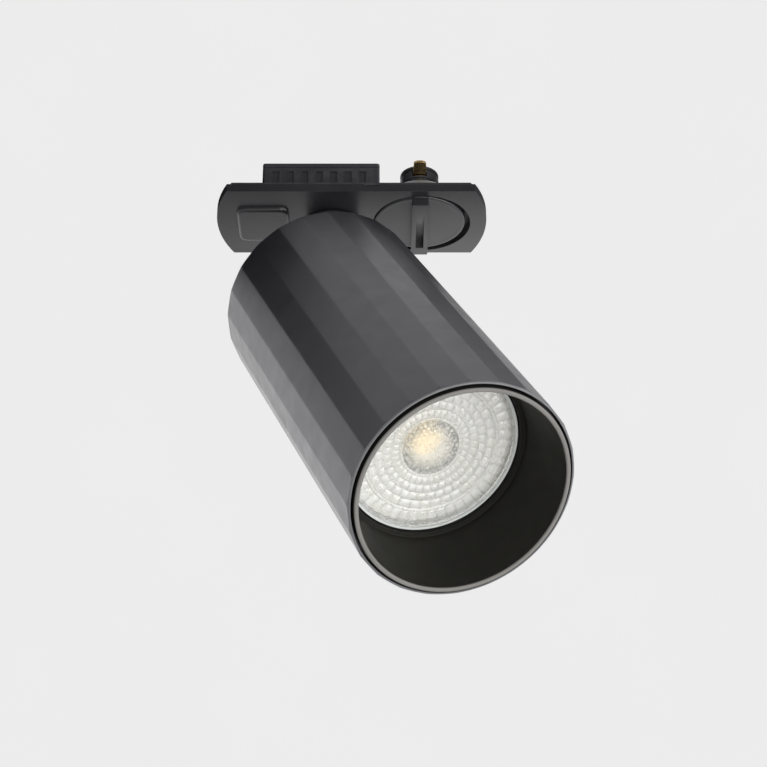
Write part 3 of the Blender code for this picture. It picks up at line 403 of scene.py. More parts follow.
# Shapes. Each is a mesh in its piece's own frame.


def mesh_of(shape):
    bmesh.ops.recalc_face_normals(shape, faces=shape.faces)
    mesh = bpy.data.meshes.new("shape")
    shape.to_mesh(mesh)
    shape.free()
    return mesh


def bridge(shape, first, second):
    """Fills between two rings of vertices. A ring of one vertex is a pole."""
    count = max(len(first), len(second))
    for i in range(count):
        j = (i + 1) % count
        around = [ring[k % len(ring)] for ring, k in ((first, i), (first, j), (second, j), (second, i))]
        shape.faces.new(list(dict.fromkeys(around)))


def loft(rings, closed):
    """A skin over rings of points, in order; closed joins the last ring to the first."""
    shape = bmesh.new()
    made = [[shape.verts.new(point) for point in ring] for ring in rings]
    for first, second in zip(made, made[1:]):
        bridge(shape, first, second)
    if closed:
        bridge(shape, made[-1], made[0])
    return mesh_of(shape)


def circle(radius, height, segments):
    if radius < 0.001 * MM:
        return [(0, 0, height)]
    turns = [math.tau * i / segments for i in range(segments)]
    return [(radius * math.cos(turn), radius * math.sin(turn), height) for turn in turns]


def lathe(profile, segments=96, ring=False):
    return loft([circle(radius, height, segments) for radius, height in profile], ring)


def rounded(outline, radius, steps=4, closed=True):
    """Rounds an outline's corners. A point may carry its own radius as a third number."""
    result = []
    last = len(outline) - 1
    for i, corner in enumerate(outline):
        here = Vector(corner[:2])
        wanted = corner[2] if len(corner) > 2 else radius
        if not wanted or (not closed and i in (0, last)):
            result.append(here)
            continue
        back = Vector(outline[i - 1][:2]) - here
        on = Vector(outline[(i + 1) % len(outline)][:2]) - here
        setback = min(wanted, 0.45 * back.length, 0.45 * on.length)
        start = here + back.normalized() * setback
        end = here + on.normalized() * setback
        for step in range(steps + 1):
            t = step / steps
            result.append(start * (1 - t) ** 2 + here * (2 * t * (1 - t)) + end * t**2)
    return [(point.x, point.y) for point in result]


def arc(centre, radius, start, end, steps):
    """Points along an arc, from start to end in degrees, both ends included."""
    angles = [math.radians(start + (end - start) * i / steps) for i in range(steps + 1)]
    return [(centre[0] + radius * math.cos(a), centre[1] + radius * math.sin(a)) for a in angles]


def prism(outline, low, high):
    shape = bmesh.new()
    face = shape.faces.new([shape.verts.new((x, y, low)) for x, y in outline])
    lifted = bmesh.ops.extrude_face_region(shape, geom=[face])["geom"]
    raised = [part for part in lifted if isinstance(part, bmesh.types.BMVert)]
    bmesh.ops.translate(shape, vec=(0, 0, high - low), verts=raised)
    return mesh_of(shape)


def block(low, high, corner=0.0):
    """A block whose vertical edges are rounded by corner."""
    outline = [(low[0], low[1]), (high[0], low[1]), (high[0], high[1]), (low[0], high[1])]
    return prism(rounded(outline, corner) if corner else outline, low[2], high[2])


def drum(radius, low, high, at=(0, 0), segments=48):
    mesh = lathe([(0, high), (radius, high), (radius, low), (0, low)], segments)
    return moved(mesh, Matrix.Translation((at[0], at[1], 0)))


def moved(mesh, matrix):
    mesh.transform(matrix)
    return mesh


def solid(base, joined=(), cut=(), edge=0.0, segments=3, shared=()):
    """Joins meshes to a base, cuts others from it, keeps what it shares with others, rounds its edges."""
    worked = bpy.data.objects.new("worked", base)
    SCENE.collection.objects.link(worked)
    helpers = []
    for operation, meshes in (("UNION", joined), ("DIFFERENCE", cut), ("INTERSECT", shared)):
        for mesh in meshes:
            helper = bpy.data.objects.new("helper", mesh)
            SCENE.collection.objects.link(helper)
            helpers.append(helper)
            change = worked.modifiers.new("change", "BOOLEAN")
            change.operation = operation
            change.object = helper
    if edge:
        rounding = worked.modifiers.new("edges", "BEVEL")
        rounding.width = edge
        rounding.segments = segments
        rounding.limit_method = "ANGLE"
        rounding.angle_limit = math.radians(40)
    graph = bpy.context.evaluated_depsgraph_get()
    result = bpy.data.meshes.new_from_object(worked.evaluated_get(graph), depsgraph=graph)
    for used in (worked, *helpers):
        bpy.data.objects.remove(used)
    return result


def piece(name, mesh, place, node, surface=None):
    """Shows a mesh in place of a CAD node, on the node's body and with its slot's material."""
    made = bpy.data.objects.new(name, mesh)
    SCENE.collection.objects.link(made)
    made.matrix_world = place
    mesh.materials.clear()
    mesh.materials.append((surface or SURFACES[SLOT_OF[node]]).material)
    mesh.shade_smooth()
    mesh.set_sharp_from_angle(angle=math.radians(38))
    weighted = made.modifiers.new("normals", "WEIGHTED_NORMAL")
    weighted.keep_sharp = True
    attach(made, BODY_OF[node])
    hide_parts(node)


# Screws and nuts


def cross_recess(top, size):
    """A cross that cuts a drive recess into a screw's head."""
    arm = size * 0.55
    half = size * 0.13
    plus = [
        (half, half), (half, arm), (-half, arm), (-half, half), (-arm, half), (-arm, -half),
        (-half, -half), (-half, -arm), (half, -arm), (half, -half), (arm, -half), (arm, half),
    ]
    return prism(plus, top - size * 0.32, top + MM)


def screw(name, node, place, recess=cross_recess):
    """Turns a screw again, finely, from the outline of its CAD node, and cuts its drive recess."""
    offset, outline = outline_of(node, place)
    size = max(radius for radius, _ in outline)
    top = outline[0][1]
    body = lathe(rounded(outline, 0.25 * size, 5, closed=False), 40)
    cut = solid(body, cut=[recess(top, size)])
    piece(name, cut, place @ offset, node)


def hexagon(radius):
    return [(x, y) for x, y, _ in circle(radius, 0, 6)]


def hex_recess(top, size):
    return prism(hexagon(size * 0.5), top - size * 0.45, top + MM)


def all_screws():
    for number in (1, 2):
        screw(f"lid_fastener_{number}", f"lid_screw_{number}", ADAPTER)
        screw(f"cap_fastener_{number}", f"cap_screw_{number}", HEAD)
        screw(f"bracket_fastener_{number}", f"bracket_screw_{number}", HEAD)
        screw(f"holder_fastener_{number}", f"holder_screw_{number}", HEAD)
    for number in (1, 2, 3):
        screw(f"plate_fastener_{number}", f"plate_screw_{number}", ADAPTER)
    screw("hook_fastener", "hook_screw", ADAPTER)
    screw("tilt_bolt", "tilt_screw", HEAD @ ALONG_X, hex_recess)


# Adapter


PLATE_BOW = 4.2 * MM
PAD_RISE = 1.4 * MM
PAD_X = (-36.4 * MM, -19.8 * MM)
PAD_HALF_WIDTH = 9.0 * MM
WELL_OFFSET = (0.6 * MM, 0.55 * MM)
WELL_RADIUS = 15.5 * MM
NOTCH_X = (4.4 * MM, 8.6 * MM)
ARM_HOLE = 5.9 * MM
NIPPLE_HOLE = 3.28 * MM
SPINDLE_HOLE = 5.08 * MM
GROOVE_PITCH = 4.6 * MM


def bowed_outline(half_length, half_width):
    """Two long straight sides and two ends bowed outwards."""
    radius = (half_width**2 + PLATE_BOW**2) / (2 * PLATE_BOW)
    half_angle = math.degrees(math.asin(half_width / radius))
    centre_x = half_length - radius
    right = arc((centre_x, 0), radius, -half_angle, half_angle, 28)
    left = arc((-centre_x, 0), radius, 180 - half_angle, 180 + half_angle, 28)
    return right + left


def face_plate():
    """The plate under the track: bowed ends, a raised pad, the knob's well and a small notch."""
    low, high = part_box("adapter_plate")
    face = low.z + PAD_RISE
    outline = bowed_outline(high.x, high.y)
    well_at = (JOINTS["knob_turn"]["pos_m"][0] + WELL_OFFSET[0], WELL_OFFSET[1])
    well = drum(WELL_RADIUS, face - 0.4 * MM, high.z + MM, well_at, 128)
    pad = block((PAD_X[0], -PAD_HALF_WIDTH, low.z), (PAD_X[1], PAD_HALF_WIDTH, high.z - 0.2 * MM), 3.0 * MM)
    pad = solid(pad, edge=1.3 * MM, segments=12)
    notch_low = (NOTCH_X[0], -high.y - MM, high.z - 0.8 * MM)
    notch = block(notch_low, (NOTCH_X[1], -high.y + 1.5 * MM, high.z + MM))
    hole = drum(ARM_HOLE, face - MM, high.z + MM, (JOINTS["pan"]["pos_m"][0], 0))
    plate = solid(prism(outline, face, high.z), [pad], [notch], 0.42 * MM, 4)
    plate = solid(plate, cut=[well, hole], edge=0.1 * MM, segments=2)
    piece("face_plate", plate, ADAPTER, "adapter_plate", PLATE_PAINT)


def track_housing():
    """The base's flange, and the box that stands in the track, with grooves along its walls."""
    low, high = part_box("adapter_base")
    lid_low, lid_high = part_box("housing_lid")
    half = lid_high.y
    deck_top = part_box("terminal_block")[0].z - 0.3 * MM
    flange = prism(bowed_outline(high.x, high.y), low.z, 0)
    deck = block((low.x + 3.6 * MM, -half, low.z + 0.3 * MM), (high.x - 0.7 * MM, half, deck_top), 0.8 * MM)
    walls = block((lid_low.x, -half, low.z + 0.3 * MM), (lid_high.x, half, high.z), 1.0 * MM)
    wall = 1.4 * MM
    room_high = (lid_high.x - wall, half - wall, high.z + MM)
    room = block((lid_low.x + wall, wall - half, deck_top), room_high, 0.6 * MM)
    grooves = []
    for i in range(7):
        x = lid_low.x + 3.2 * MM + i * GROOVE_PITCH
        for side in (-1, 1):
            near, far = sorted((side * (half - 0.45 * MM), side * (half + MM)))
            lower = (x, near, deck_top + 1.6 * MM)
            grooves.append(block(lower, (x + 2.2 * MM, far, high.z - 1.5 * MM)))
    holes = []
    for joint, radius in (("pan", NIPPLE_HOLE), ("knob_turn", SPINDLE_HOLE)):
        holes.append(drum(radius, low.z - MM, deck_top + MM, (JOINTS[joint]["pos_m"][0], 0)))
    shell = solid(flange, [deck, walls], [room, *grooves, *holes], 0.22 * MM, 2)
    piece("track_housing", shell, ADAPTER, "adapter_base")


def lid():
    """The housing's lid, with a shallow channel round the earth contact."""
    low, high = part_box("housing_lid")
    contact_low, contact_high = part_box("earth_contact")
    cover = block(tuple(low), tuple(high), 1.0 * MM)
    margin = 0.8 * MM
    channel_low = (contact_low.x - margin, contact_low.y - margin, high.z - 0.35 * MM)
    channel = block(channel_low, (contact_high.x + margin, contact_high.y + margin, high.z + MM), 0.6 * MM)
    holes = []
    for number in (1, 2):
        screw_low, screw_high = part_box(f"lid_screw_{number}")
        at = ((screw_low.x + screw_high.x) / 2, 0)
        holes.append(drum(1.1 * MM, low.z - MM, high.z + MM, at, 32))
    piece("housing_cover", solid(cover, cut=[channel, *holes], edge=0.22 * MM), ADAPTER, "housing_lid")


def hook():
    """A pressed steel hook, with its corners rounded more where it leads in."""
    low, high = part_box("fixed_hook")
    lead_in = 2.4 * MM
    corners = [(low.x, low.y), (high.x, low.y), (high.x, high.y, lead_in), (low.x, high.y, lead_in)]
    screw_low, screw_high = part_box("hook_screw")
    hole = drum(1.5 * MM, low.z - MM, high.z + MM, ((screw_low.x + screw_high.x) / 2, 0), 32)
    pressed = prism(rounded(corners, 0.8 * MM, 6), low.z, high.z)
    piece("lip_hook", solid(pressed, cut=[hole], edge=0.18 * MM, segments=2), ADAPTER, "fixed_hook")


def earth_leaf():
    """A bowed brass leaf."""
    low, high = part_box("earth_contact")
    half = (high.x - low.x) / 2
    thickness = 0.4 * MM
    rise = high.z - low.z - thickness
    radius = (half**2 + rise**2) / (2 * rise)
    reach = math.degrees(math.asin(half / radius))
    top = high.z
    outer = arc((0, top - radius), radius, 90 + reach, 90 - reach, 32)
    inner = arc((0, top - radius), radius - thickness, 90 - reach, 90 + reach, 32)
    leaf = solid(prism(outer + inner, low.y, high.y), edge=0.08 * MM, segments=2)
    place = Matrix.Translation(((low.x + high.x) / 2, 0, 0)) @ UPRIGHT_ACROSS_Y
    piece("earth_leaf", leaf, place, "earth_contact")


# Locking knob and the stack on its shaft


CONTACTS = (("live_contact", 1), ("neutral_contact", -1))
STACK_BORE = 2.7 * MM
FIN_HALF_WIDTH = 2.65 * MM
FIN_HALF_LENGTH = 14.1 * MM
FIN_RISE = 2.75 * MM
SLOT_Y = (-8.0 * MM, 10.2 * MM)
SLOT_HALF_WIDTH = 1.25 * MM
SLOT_DEPTH = 2.6 * MM


def knob():
    """A disc with a fin across it, and a slot along the fin whose floor ramps up at one end."""
    low, high = spans("locking_knob", KNOB)
    radius = high.x
    face = low.z + FIN_RISE
    rim = [(0.0, 0.5), (0.15, 0.2), (0.5, 0.0), (1.3, 0.0), (1.6, 0.18)]
    profile = [(0, high.z), (radius, high.z)]
    profile += [(radius - inward * MM, face + rise * MM) for inward, rise in rim]
    disc = lathe([*profile, (0, face + 0.18 * MM)], 144)
    fin_low = (-FIN_HALF_WIDTH, -FIN_HALF_LENGTH, low.z)
    fin = block(fin_low, (FIN_HALF_WIDTH, FIN_HALF_LENGTH, face + 1.5 * MM), 0.5 * MM)
    near, far = SLOT_Y
    below = low.z - MM
    floor = low.z + SLOT_DEPTH
    ramp = [(near, below), (near, low.z), (0.5 * MM, floor), (far, floor), (far, below)]
    slot = prism(ramp, -SLOT_HALF_WIDTH, SLOT_HALF_WIDTH)
    slot.transform(Matrix.Rotation(math.pi / 2, 4, "Z") @ UPRIGHT_ACROSS_Y)
    piece("knob_with_fin", solid(disc, [fin], [slot], 0.22 * MM, 3), KNOB, "locking_knob", PLATE_PAINT)


def knob_stack():
    """The shaft, lock plate, contact carrier with its blades, and retaining clip."""
    offset, outline = outline_of("knob_shaft", KNOB)
    piece("spindle", lathe(rounded(outline, 0.35 * MM, 4, closed=False), 64), KNOB @ offset, "knob_shaft")
    low, high = spans("lock_plate", KNOB)
    reach = math.degrees(math.asin(high.x / high.y))
    outline = []
    for middle in (90, 270):
        outline += arc((0, 0), high.y, middle - reach, middle + reach, 20)
    bore = drum(STACK_BORE, low.z - MM, high.z + MM)
    bar = solid(prism(outline, low.z, high.z), cut=[bore], edge=0.2 * MM)
    piece("locking_bar", bar, KNOB, "lock_plate")
    carrier()
    for node, side in CONTACTS:
        blade(node, side)
    low, high = spans("spindle_clip", KNOB)
    ring = [(STACK_BORE, high.z), (high.x, high.z), (high.x, low.z), (STACK_BORE, low.z)]
    gap = block((-1.5 * MM, 0, low.z - MM), (1.5 * MM, 6 * MM, high.z + MM))
    windows = [drum(1.0 * MM, low.z - MM, high.z + MM, at, 24) for at in arc((0, 0), 3.1 * MM, 200, 340, 1)]
    clip = solid(lathe(ring, 64, ring=True), cut=[gap, *windows], edge=0.1 * MM, segments=2)
    piece("retaining_clip", clip, KNOB, "spindle_clip")


def carrier():
    """The insulator that carries the blades, with creepage grooves round it."""
    low, high = spans("contact_carrier", KNOB)
    radius = high.x
    floor = radius - 0.5 * MM
    half_groove = 0.35 * MM
    profile = [(STACK_BORE, high.z), (radius, high.z)]
    for share in (0.86, 0.5, 0.14):
        height = low.z + share * (high.z - low.z)
        above = height + half_groove
        below = height - half_groove
        profile += [(radius, above), (floor, above), (floor, below), (radius, below)]
    profile += [(radius, low.z), (STACK_BORE, low.z)]
    pockets = []
    play = 0.3 * MM
    for node, side in CONTACTS:
        blade_low, blade_high = spans(node, KNOB)
        ends = sorted((side * 3.1 * MM, side * 8.0 * MM))
        pocket_low = (blade_low.x - play, ends[0], blade_low.z - play)
        pockets.append(block(pocket_low, (blade_high.x + play, ends[1], blade_high.z + play)))
    shell = solid(lathe(rounded(profile, 0.15 * MM, 2), 64, ring=True), [], pockets)
    piece("insulating_carrier", shell, KNOB, "contact_carrier")


def blade(node, side):
    """A contact blade with a rounded tip and a small hole near its root."""
    low, high = spans(node, KNOB)
    tip, root = (high.y, low.y) if side > 0 else (low.y, high.y)
    tip_corner = 1.8 * MM
    corners = [(low.x, root), (high.x, root), (high.x, tip, tip_corner), (low.x, tip, tip_corner)]
    hole = drum(0.55 * MM, low.z - MM, high.z + MM, (0, root + side * 1.6 * MM), 24)
    pressed = prism(rounded(corners, 0.2 * MM, 8), low.z, high.z)
    piece(node.replace("contact", "blade"), solid(pressed, cut=[hole], edge=0.12 * MM), KNOB, node)


# Arm


def stem():
    """The hollow stem, with a fine turned groove near its foot and the grub screw's hole."""
    low, high = spans("stem_tube", ARM)
    radius = high.x
    bore = 6.5 * MM
    neck = 3.5 * MM
    roof = high.z - 2.5 * MM
    groove = low.z + 0.9 * MM
    profile = [
        (neck, high.z, 0.2 * MM), (radius, high.z, 0.7 * MM),
        (radius, groove + 0.3 * MM), (radius - 0.2 * MM, groove + 0.1 * MM), (radius, groove - 0.1 * MM),
        (radius, low.z, 0.3 * MM), (bore, low.z, 0.2 * MM), (bore, roof), (neck, roof),
    ]
    tube = lathe(rounded(profile, 0.08 * MM, 4), 128, ring=True)
    grub_low, grub_high = spans("stem_grub_screw", ARM)
    grub = (grub_low + grub_high) / 2
    grub_place = Matrix.Translation((0, grub.y, grub.z)) @ UPRIGHT_ACROSS_Y
    tap = moved(drum(1.6 * MM, -3 * MM, 3 * MM), grub_place)
    piece("stem_sleeve", solid(tube, cut=[tap]), ARM, "stem_tube")
    length = (grub_high.y - grub_low.y) / 2
    radius = (grub_high.z - grub_low.z) / 2
    profile = [(0, length), (radius, length), (radius, -length), (0, -length)]
    body = lathe(rounded(profile, 0.2 * MM, 3, closed=False), 32)
    piece("grub_screw", solid(body, cut=[hex_recess(length, radius)]), ARM @ grub_place, "stem_grub_screw")


def knuckle():
    """The stem's plug and the tongue of the tilt hinge, as one casting."""
    low, high = spans("knuckle", ARM)
    pivot_z = (HEAD.translation - ARM.translation).z
    hinge = pivot_z - low.z
    radius = high.x
    flange_top = spans("stem_tube", ARM)[0].z - 0.3 * MM
    flange_bottom = flange_top - 1.8 * MM
    plug = 6.2 * MM
    profile = rounded([
        (0, high.z), (plug, high.z, 0.5 * MM), (plug, flange_top, 0.0), (radius, flange_top, 0.25 * MM),
        (radius, flange_bottom, 0.7 * MM), (0, flange_bottom),
    ], 0.1 * MM, 5, closed=False)
    root = flange_bottom - pivot_z + 0.8 * MM
    outline = [(root, -hinge), (root, hinge)] + arc((0, 0), hinge, 90, 270, 40)
    half = 2.7 * MM
    tongue = solid(prism(outline, -half, half), edge=0.35 * MM, segments=3)
    tongue.transform(Matrix.Translation((0, 0, pivot_z)) @ UPRIGHT_ACROSS_X)
    eye = moved(drum(2.05 * MM, -4 * MM, 4 * MM), Matrix.Translation((0, 0, pivot_z)) @ ALONG_X)
    passage = drum(1.5 * MM, flange_bottom - MM, high.z + MM, (4.5 * MM, 0), 32)
    piece("hinge_knuckle", solid(lathe(profile, 96), [tongue], [eye, passage]), ARM, "knuckle")


# Head: body and front ring


FACETS = 24


def facet_radius(angle, apothem):
    """The distance from the axis to a prism of flat facets, in a direction."""
    step = math.tau / FACETS
    off = (angle + step / 2) % step - step / 2
    return apothem / math.cos(off)


def faceted_ring(limit, height, apothem, angles):
    """A slice of the prism, no wider than limit."""
    ring = []
    for angle in angles:
        radius = min(limit, facet_radius(angle, apothem))
        ring.append((radius * math.cos(angle), radius * math.sin(angle), height))
    return ring


def faceted_body():
    """The head's tube: flat facets with softened corners, turned edges, and a groove round the snoot."""
    found = corners_of("head_body", HEAD)
    corner = max(math.hypot(point.x, point.y) for point in found)
    low, high = spans("head_body", HEAD)
    front, rear = low.z, high.z
    apothem = corner * math.cos(math.pi / FACETS)
    softened = corner - 0.04 * MM
    bore = 29.4 * MM
    groove = 30.5 * MM
    groove_floor = front + 3.5 * MM
    edge_angle = math.acos(apothem / softened)
    step = math.tau / FACETS
    shares = (-1, -0.55, 0.0, 0.55, 1)
    inner_angles = [edge_angle * share for share in shares]
    corner_angles = [step / 2 + (step / 2 - edge_angle) * share for share in (-0.4, 0.4)]
    angles = [facet * step + angle for facet in range(FACETS) for angle in inner_angles + corner_angles]
    lip = [(30.86, 0.0), (30.93, 0.03), (31.0, 0.09), (31.12, 0.22), (31.24, 0.35)]
    lip += [(31.33, 0.5), (31.38, 0.7)]
    outer = [(radius * MM, front + rise * MM) for radius, rise in lip]
    outer += [(softened, front + share * (rear - front)) for share in (0.02, 0.25, 0.5, 0.75, 0.98)]
    turned = [(0.0, 0.42), (0.12, 0.2), (0.28, 0.06), (0.48, 0.0)]
    outer += [(softened - inward * MM, rear - drop * MM) for inward, drop in turned]
    inner = [(bore + 0.3 * MM, rear), (bore + 0.08 * MM, rear - 0.1 * MM), (bore, rear - 0.3 * MM)]
    inner += [(bore, groove_floor), (groove - 0.1 * MM, groove_floor), (groove, groove_floor - 0.1 * MM)]
    inner += [(groove, front + 0.12 * MM), (groove + 0.08 * MM, front)]
    rings = [faceted_ring(radius, height, apothem, angles) for radius, height in outer]
    for radius, height in inner:
        rings.append([(radius * math.cos(angle), radius * math.sin(angle), height) for angle in angles])
    piece("faceted_tube", loft(rings, True), HEAD, "head_body", HEAD_PAINT)


def front_ring():
    """The snoot: a matt tapered sleeve with a rounded turned rim, proud of the body."""
    low, high = spans("snoot", HEAD)
    front, rear = low.z, high.z
    flange = 29.8 * MM
    mouth = 28.6 * MM
    throat = 26.6 * MM
    sleeve = 28.9 * MM
    foot = 25.4 * MM
    floor = rear - 1.5 * MM
    flange_rear = BODY_FRONT + 3.1 * MM
    grip = BODY_FRONT + 8 * MM
    half_grip = 0.6 * MM
    grip_radius = 28.35 * MM
    profile = [
        (foot, rear), (sleeve, rear, 0.5 * MM), (sleeve, grip + half_grip),
        (grip_radius, grip + half_grip), (grip_radius, grip - half_grip), (sleeve, grip - half_grip),
        (sleeve, flange_rear), (flange, flange_rear), (flange, front, 0.55 * MM),
        (mouth, front, 0.45 * MM), (mouth - 0.9 * MM, front + 12 * MM, 4 * MM),
        (throat, floor, 0.4 * MM), (foot, floor, 0.2 * MM),
    ]
    piece("snoot_sleeve", lathe(rounded(profile, 0.1 * MM, 6), 192, ring=True), HEAD, "snoot", SNOOT_BLACK)


# Lamp


def pillow(share, sharpness=0.7):
    """A bulge across one cell, from 0 at its edges to 1 in its middle."""
    return math.sin(math.pi * (share % 1.0)) ** sharpness


def lens_relief(radius, angle):
    """How far the lens's face stands out of its plane, in millimetres."""
    if radius < EYE_RADIUS:
        x, y = radius * math.cos(angle), radius * math.sin(angle)
        rows = [x * math.cos(turn) + y * math.sin(turn) for turn in DIMPLE_ROWS]
        dimples = sum(math.cos(math.tau * row / DIMPLE_PITCH) for row in rows)
        crown = 0.75 * (1 - (radius / EYE_RADIUS) ** 2)
        return 0.15 + crown + 0.05 * dimples * min(1.0, (EYE_RADIUS - radius) / (0.6 * MM))
    if radius < EYE_EDGE:
        return 0.32 * pillow((radius - EYE_RADIUS) / (EYE_EDGE - EYE_RADIUS)) - 0.25
    if radius < PILLOWS_END:
        ring, share = divmod((radius - EYE_EDGE) / PILLOW_PITCH, 1.0)
        sector = angle * PILLOWS_AROUND / math.tau + 0.5 * (ring % 2)
        return 0.42 * pillow(share) * (0.35 + 0.65 * pillow(sector, 0.5)) - 0.1
    if radius < RIBS_START:
        return 0.35 * pillow((radius - PILLOWS_END) / (RIBS_START - PILLOWS_END), 0.5) + 0.05
    if radius < RIBS_END:
        across = pillow((radius - RIBS_START) / (RIBS_END - RIBS_START), 0.4)
        return 0.34 * across * pillow(angle * RIBS_AROUND / math.tau, 0.6) - 0.05
    return 0.0


def lens():
    """The lamp's moulded lens: a dimpled eye, rings of small pillows, a plain ring and radial ribs."""
    low, high = spans("lamp_lens", HEAD)
    rear = high.z
    face = rear - 2.1 * MM
    segments = 288
    count = round(LENS_RADIUS / (0.24 * MM))
    rings = [[(0, 0, rear)]]
    rings.append(circle(LENS_RADIUS - 0.1 * MM, rear, segments))
    rings.append(circle(LENS_RADIUS, rear - 0.15 * MM, segments))
    for i in range(count, 0, -1):
        radius = i * LENS_RADIUS / count
        ring = []
        for x, y, _ in circle(radius, 0, segments):
            ring.append((x, y, max(low.z, face - lens_relief(radius, math.atan2(y, x)) * MM)))
        rings.append(ring)
    rings.append([(0, 0, face - lens_relief(0, 0) * MM)])
    piece("moulded_lens", loft(rings, False), HEAD, "lamp_lens")


def bezel():
    """The lamp's rim round its lens."""
    low, high = spans("lamp_bezel", HEAD)
    outer = high.x
    inner = LENS_RADIUS + 0.12 * MM
    profile = [(inner, high.z), (outer, high.z), (outer, low.z, 0.7 * MM), (inner, low.z, 0.35 * MM)]
    piece("lamp_rim", lathe(rounded(profile, 0.15 * MM, 6), 160, ring=True), HEAD, "lamp_bezel", LIT_BEZEL)


def led():
    """The white board behind the lens with its flared reflector, and the phosphor on it."""
    low, high = spans("led_board", HEAD)
    mouth = low.z - 3.8 * MM
    flare = high.x + 2.3 * MM
    profile = [(0, high.z), (high.x, high.z), (flare + 0.35 * MM, mouth)]
    profile += [(flare, mouth), (high.x - 0.4 * MM, low.z), (0, low.z)]
    board = lathe(rounded(profile, 0.1 * MM, 4, closed=False), 96)
    piece("lit_white_board", board, HEAD, "led_board", LIT_BOARD)
    low, high = spans("led_chip", HEAD)
    profile = [(0, high.z), (high.x, high.z), (high.x, low.z, 0.25 * MM), (0, low.z)]
    piece("lit_phosphor", lathe(rounded(profile, 0.1 * MM, 4, closed=False), 96), HEAD, "led_chip", LIT_CHIP)


# Rear of the head


def rear_cap():
    """The plate that closes the head's rear, with a shallow turned groove and clearance holes."""
    low, high = spans("rear_cap", HEAD)
    radius = max(math.hypot(point.x, point.y) for point in corners_of("rear_cap", HEAD))
    groove = radius - 2.6 * MM
    sunk = high.z - 0.35 * MM
    profile = [
        (0, high.z), (groove - 0.5 * MM, high.z), (groove, sunk), (groove + 0.5 * MM, sunk),
        (groove + 0.9 * MM, high.z), (radius, high.z, 0.5 * MM), (radius, low.z), (0, low.z),
    ]
    hole_radii = {f"bracket_screw_{number}": 1.6 * MM for number in (1, 2)}
    hole_radii |= {f"cap_screw_{number}": 1.7 * MM for number in (1, 2)}
    hole_radii["cap_grommet"] = 3.4 * MM
    holes = []
    for node, hole in hole_radii.items():
        middle = middle_of(node, HEAD)
        holes.append(drum(hole, low.z - MM, high.z + MM, (middle.x, middle.y), 40))
    cap = solid(lathe(rounded(profile, 0.2 * MM, 4, closed=False), 128), [], holes)
    piece("end_cap", cap, HEAD, "rear_cap")


def grommet():
    """A rubber sleeve with a flange on each side of the rear cap."""
    low, high = spans("cap_grommet", HEAD)
    middle = (low + high) / 2
    outer = (high.x - low.x) / 2
    cap_low, cap_high = spans("rear_cap", HEAD)
    bore = 1.8 * MM
    neck = 3.1 * MM
    above = cap_high.z + 0.3 * MM
    below = cap_low.z - 0.3 * MM
    inside = outer - 0.2 * MM
    profile = [
        (bore, high.z, 0.4 * MM), (outer - 0.4 * MM, high.z, 0.5 * MM), (outer, above, 0.3 * MM),
        (neck, above), (neck, below), (inside, below, 0.3 * MM), (inside, low.z, 0.4 * MM),
        (bore, low.z, 0.4 * MM),
    ]
    sleeve = lathe(rounded(profile, 0.1 * MM, 4), 64, ring=True)
    piece("rubber_grommet", sleeve, HEAD @ Matrix.Translation((middle.x, middle.y, 0)), "cap_grommet")


def hinge():
    """A bracket with two ears, the nut that clamps them, and the nylon washers between."""
    low, high = spans("hinge_bracket", HEAD)
    radius = high.z
    ear_outer = high.x
    ear = 3 * MM
    base_top = low.z + 2 * MM
    base = block(tuple(low), (high.x, high.y, base_top), 1.5 * MM)
    outline = [(low.z + 0.5 * MM, radius), (low.z + 0.5 * MM, -radius)] + arc((0, 0), radius, -90, 90, 40)
    starts = (ear_outer - ear, -ear_outer)
    ears = [moved(prism(outline, start, start + ear), UPRIGHT_ACROSS_X) for start in starts]
    eye = moved(drum(2.2 * MM, -9 * MM, 9 * MM), ALONG_X)
    sinks = []
    for number in (1, 2):
        y = middle_of(f"bracket_screw_{number}", HEAD).y
        sink = [(0, base_top + MM), (3.9 * MM, base_top + MM), (1.6 * MM, base_top - 1.3 * MM)]
        sink += [(1.6 * MM, low.z - MM), (0, low.z - MM)]
        sinks.append(moved(lathe(sink, 48), Matrix.Translation((0, y, 0))))
    bracket = solid(base, ears, [eye, *sinks], 0.3 * MM, 3)
    piece("eared_bracket", bracket, HEAD, "hinge_bracket")
    for number in (1, 2):
        node = f"friction_washer_{number}"
        low, high = spans(node, HEAD)
        profile = [(2.3 * MM, high.x), (high.y, high.x), (high.y, low.x), (2.3 * MM, low.x)]
        disc = lathe(rounded(profile, 0.12 * MM, 3), 64, ring=True)
        piece(f"nylon_washer_{number}", moved(disc, ALONG_X), HEAD, node)
    low, high = spans("tilt_nut", HEAD)
    corner = max(math.hypot(point.y, point.z) for point in corners_of("tilt_nut", HEAD))
    cone = [(0, high.x), (corner * 0.9, high.x), (corner * 1.03, high.x - 0.5 * MM)]
    cone += [(corner * 1.03, low.x + 0.5 * MM), (corner * 0.9, low.x), (0, low.x)]
    cone = solid(lathe(cone, 72), cut=[drum(2.05 * MM, low.x - MM, high.x + MM, segments=32)])
    nut = solid(prism(hexagon(corner), low.x, high.x), shared=[cone])
    piece("clamp_nut", moved(nut, ALONG_X), HEAD, "tilt_nut")


def carried_over():
    """CAD nodes whose shape is right keep it, and take their slot's material."""
    for name, shown in frame["nodes"].items():
        if not shown.hide_render:
            shown.data.materials.clear()
            shown.data.materials.append(SURFACES[SLOT_OF[name]].material)


# Stage


# The camera stands where the photograph's did, found from the outlines of the plate and the head.
CAMERA_PLACE = (0.010126, -0.497065, -0.337243)
CAMERA_RISE = math.radians(28.905)
CAMERA_LENS = 87.68
SENSOR = 36.0
FLOOR_Z = -1.5
FLOOR_RADIUS = 3.9
FLOOR_GREY = 0.78
BACKDROP_RADIUS = 4.0
BACKDROP_GREY = 0.838

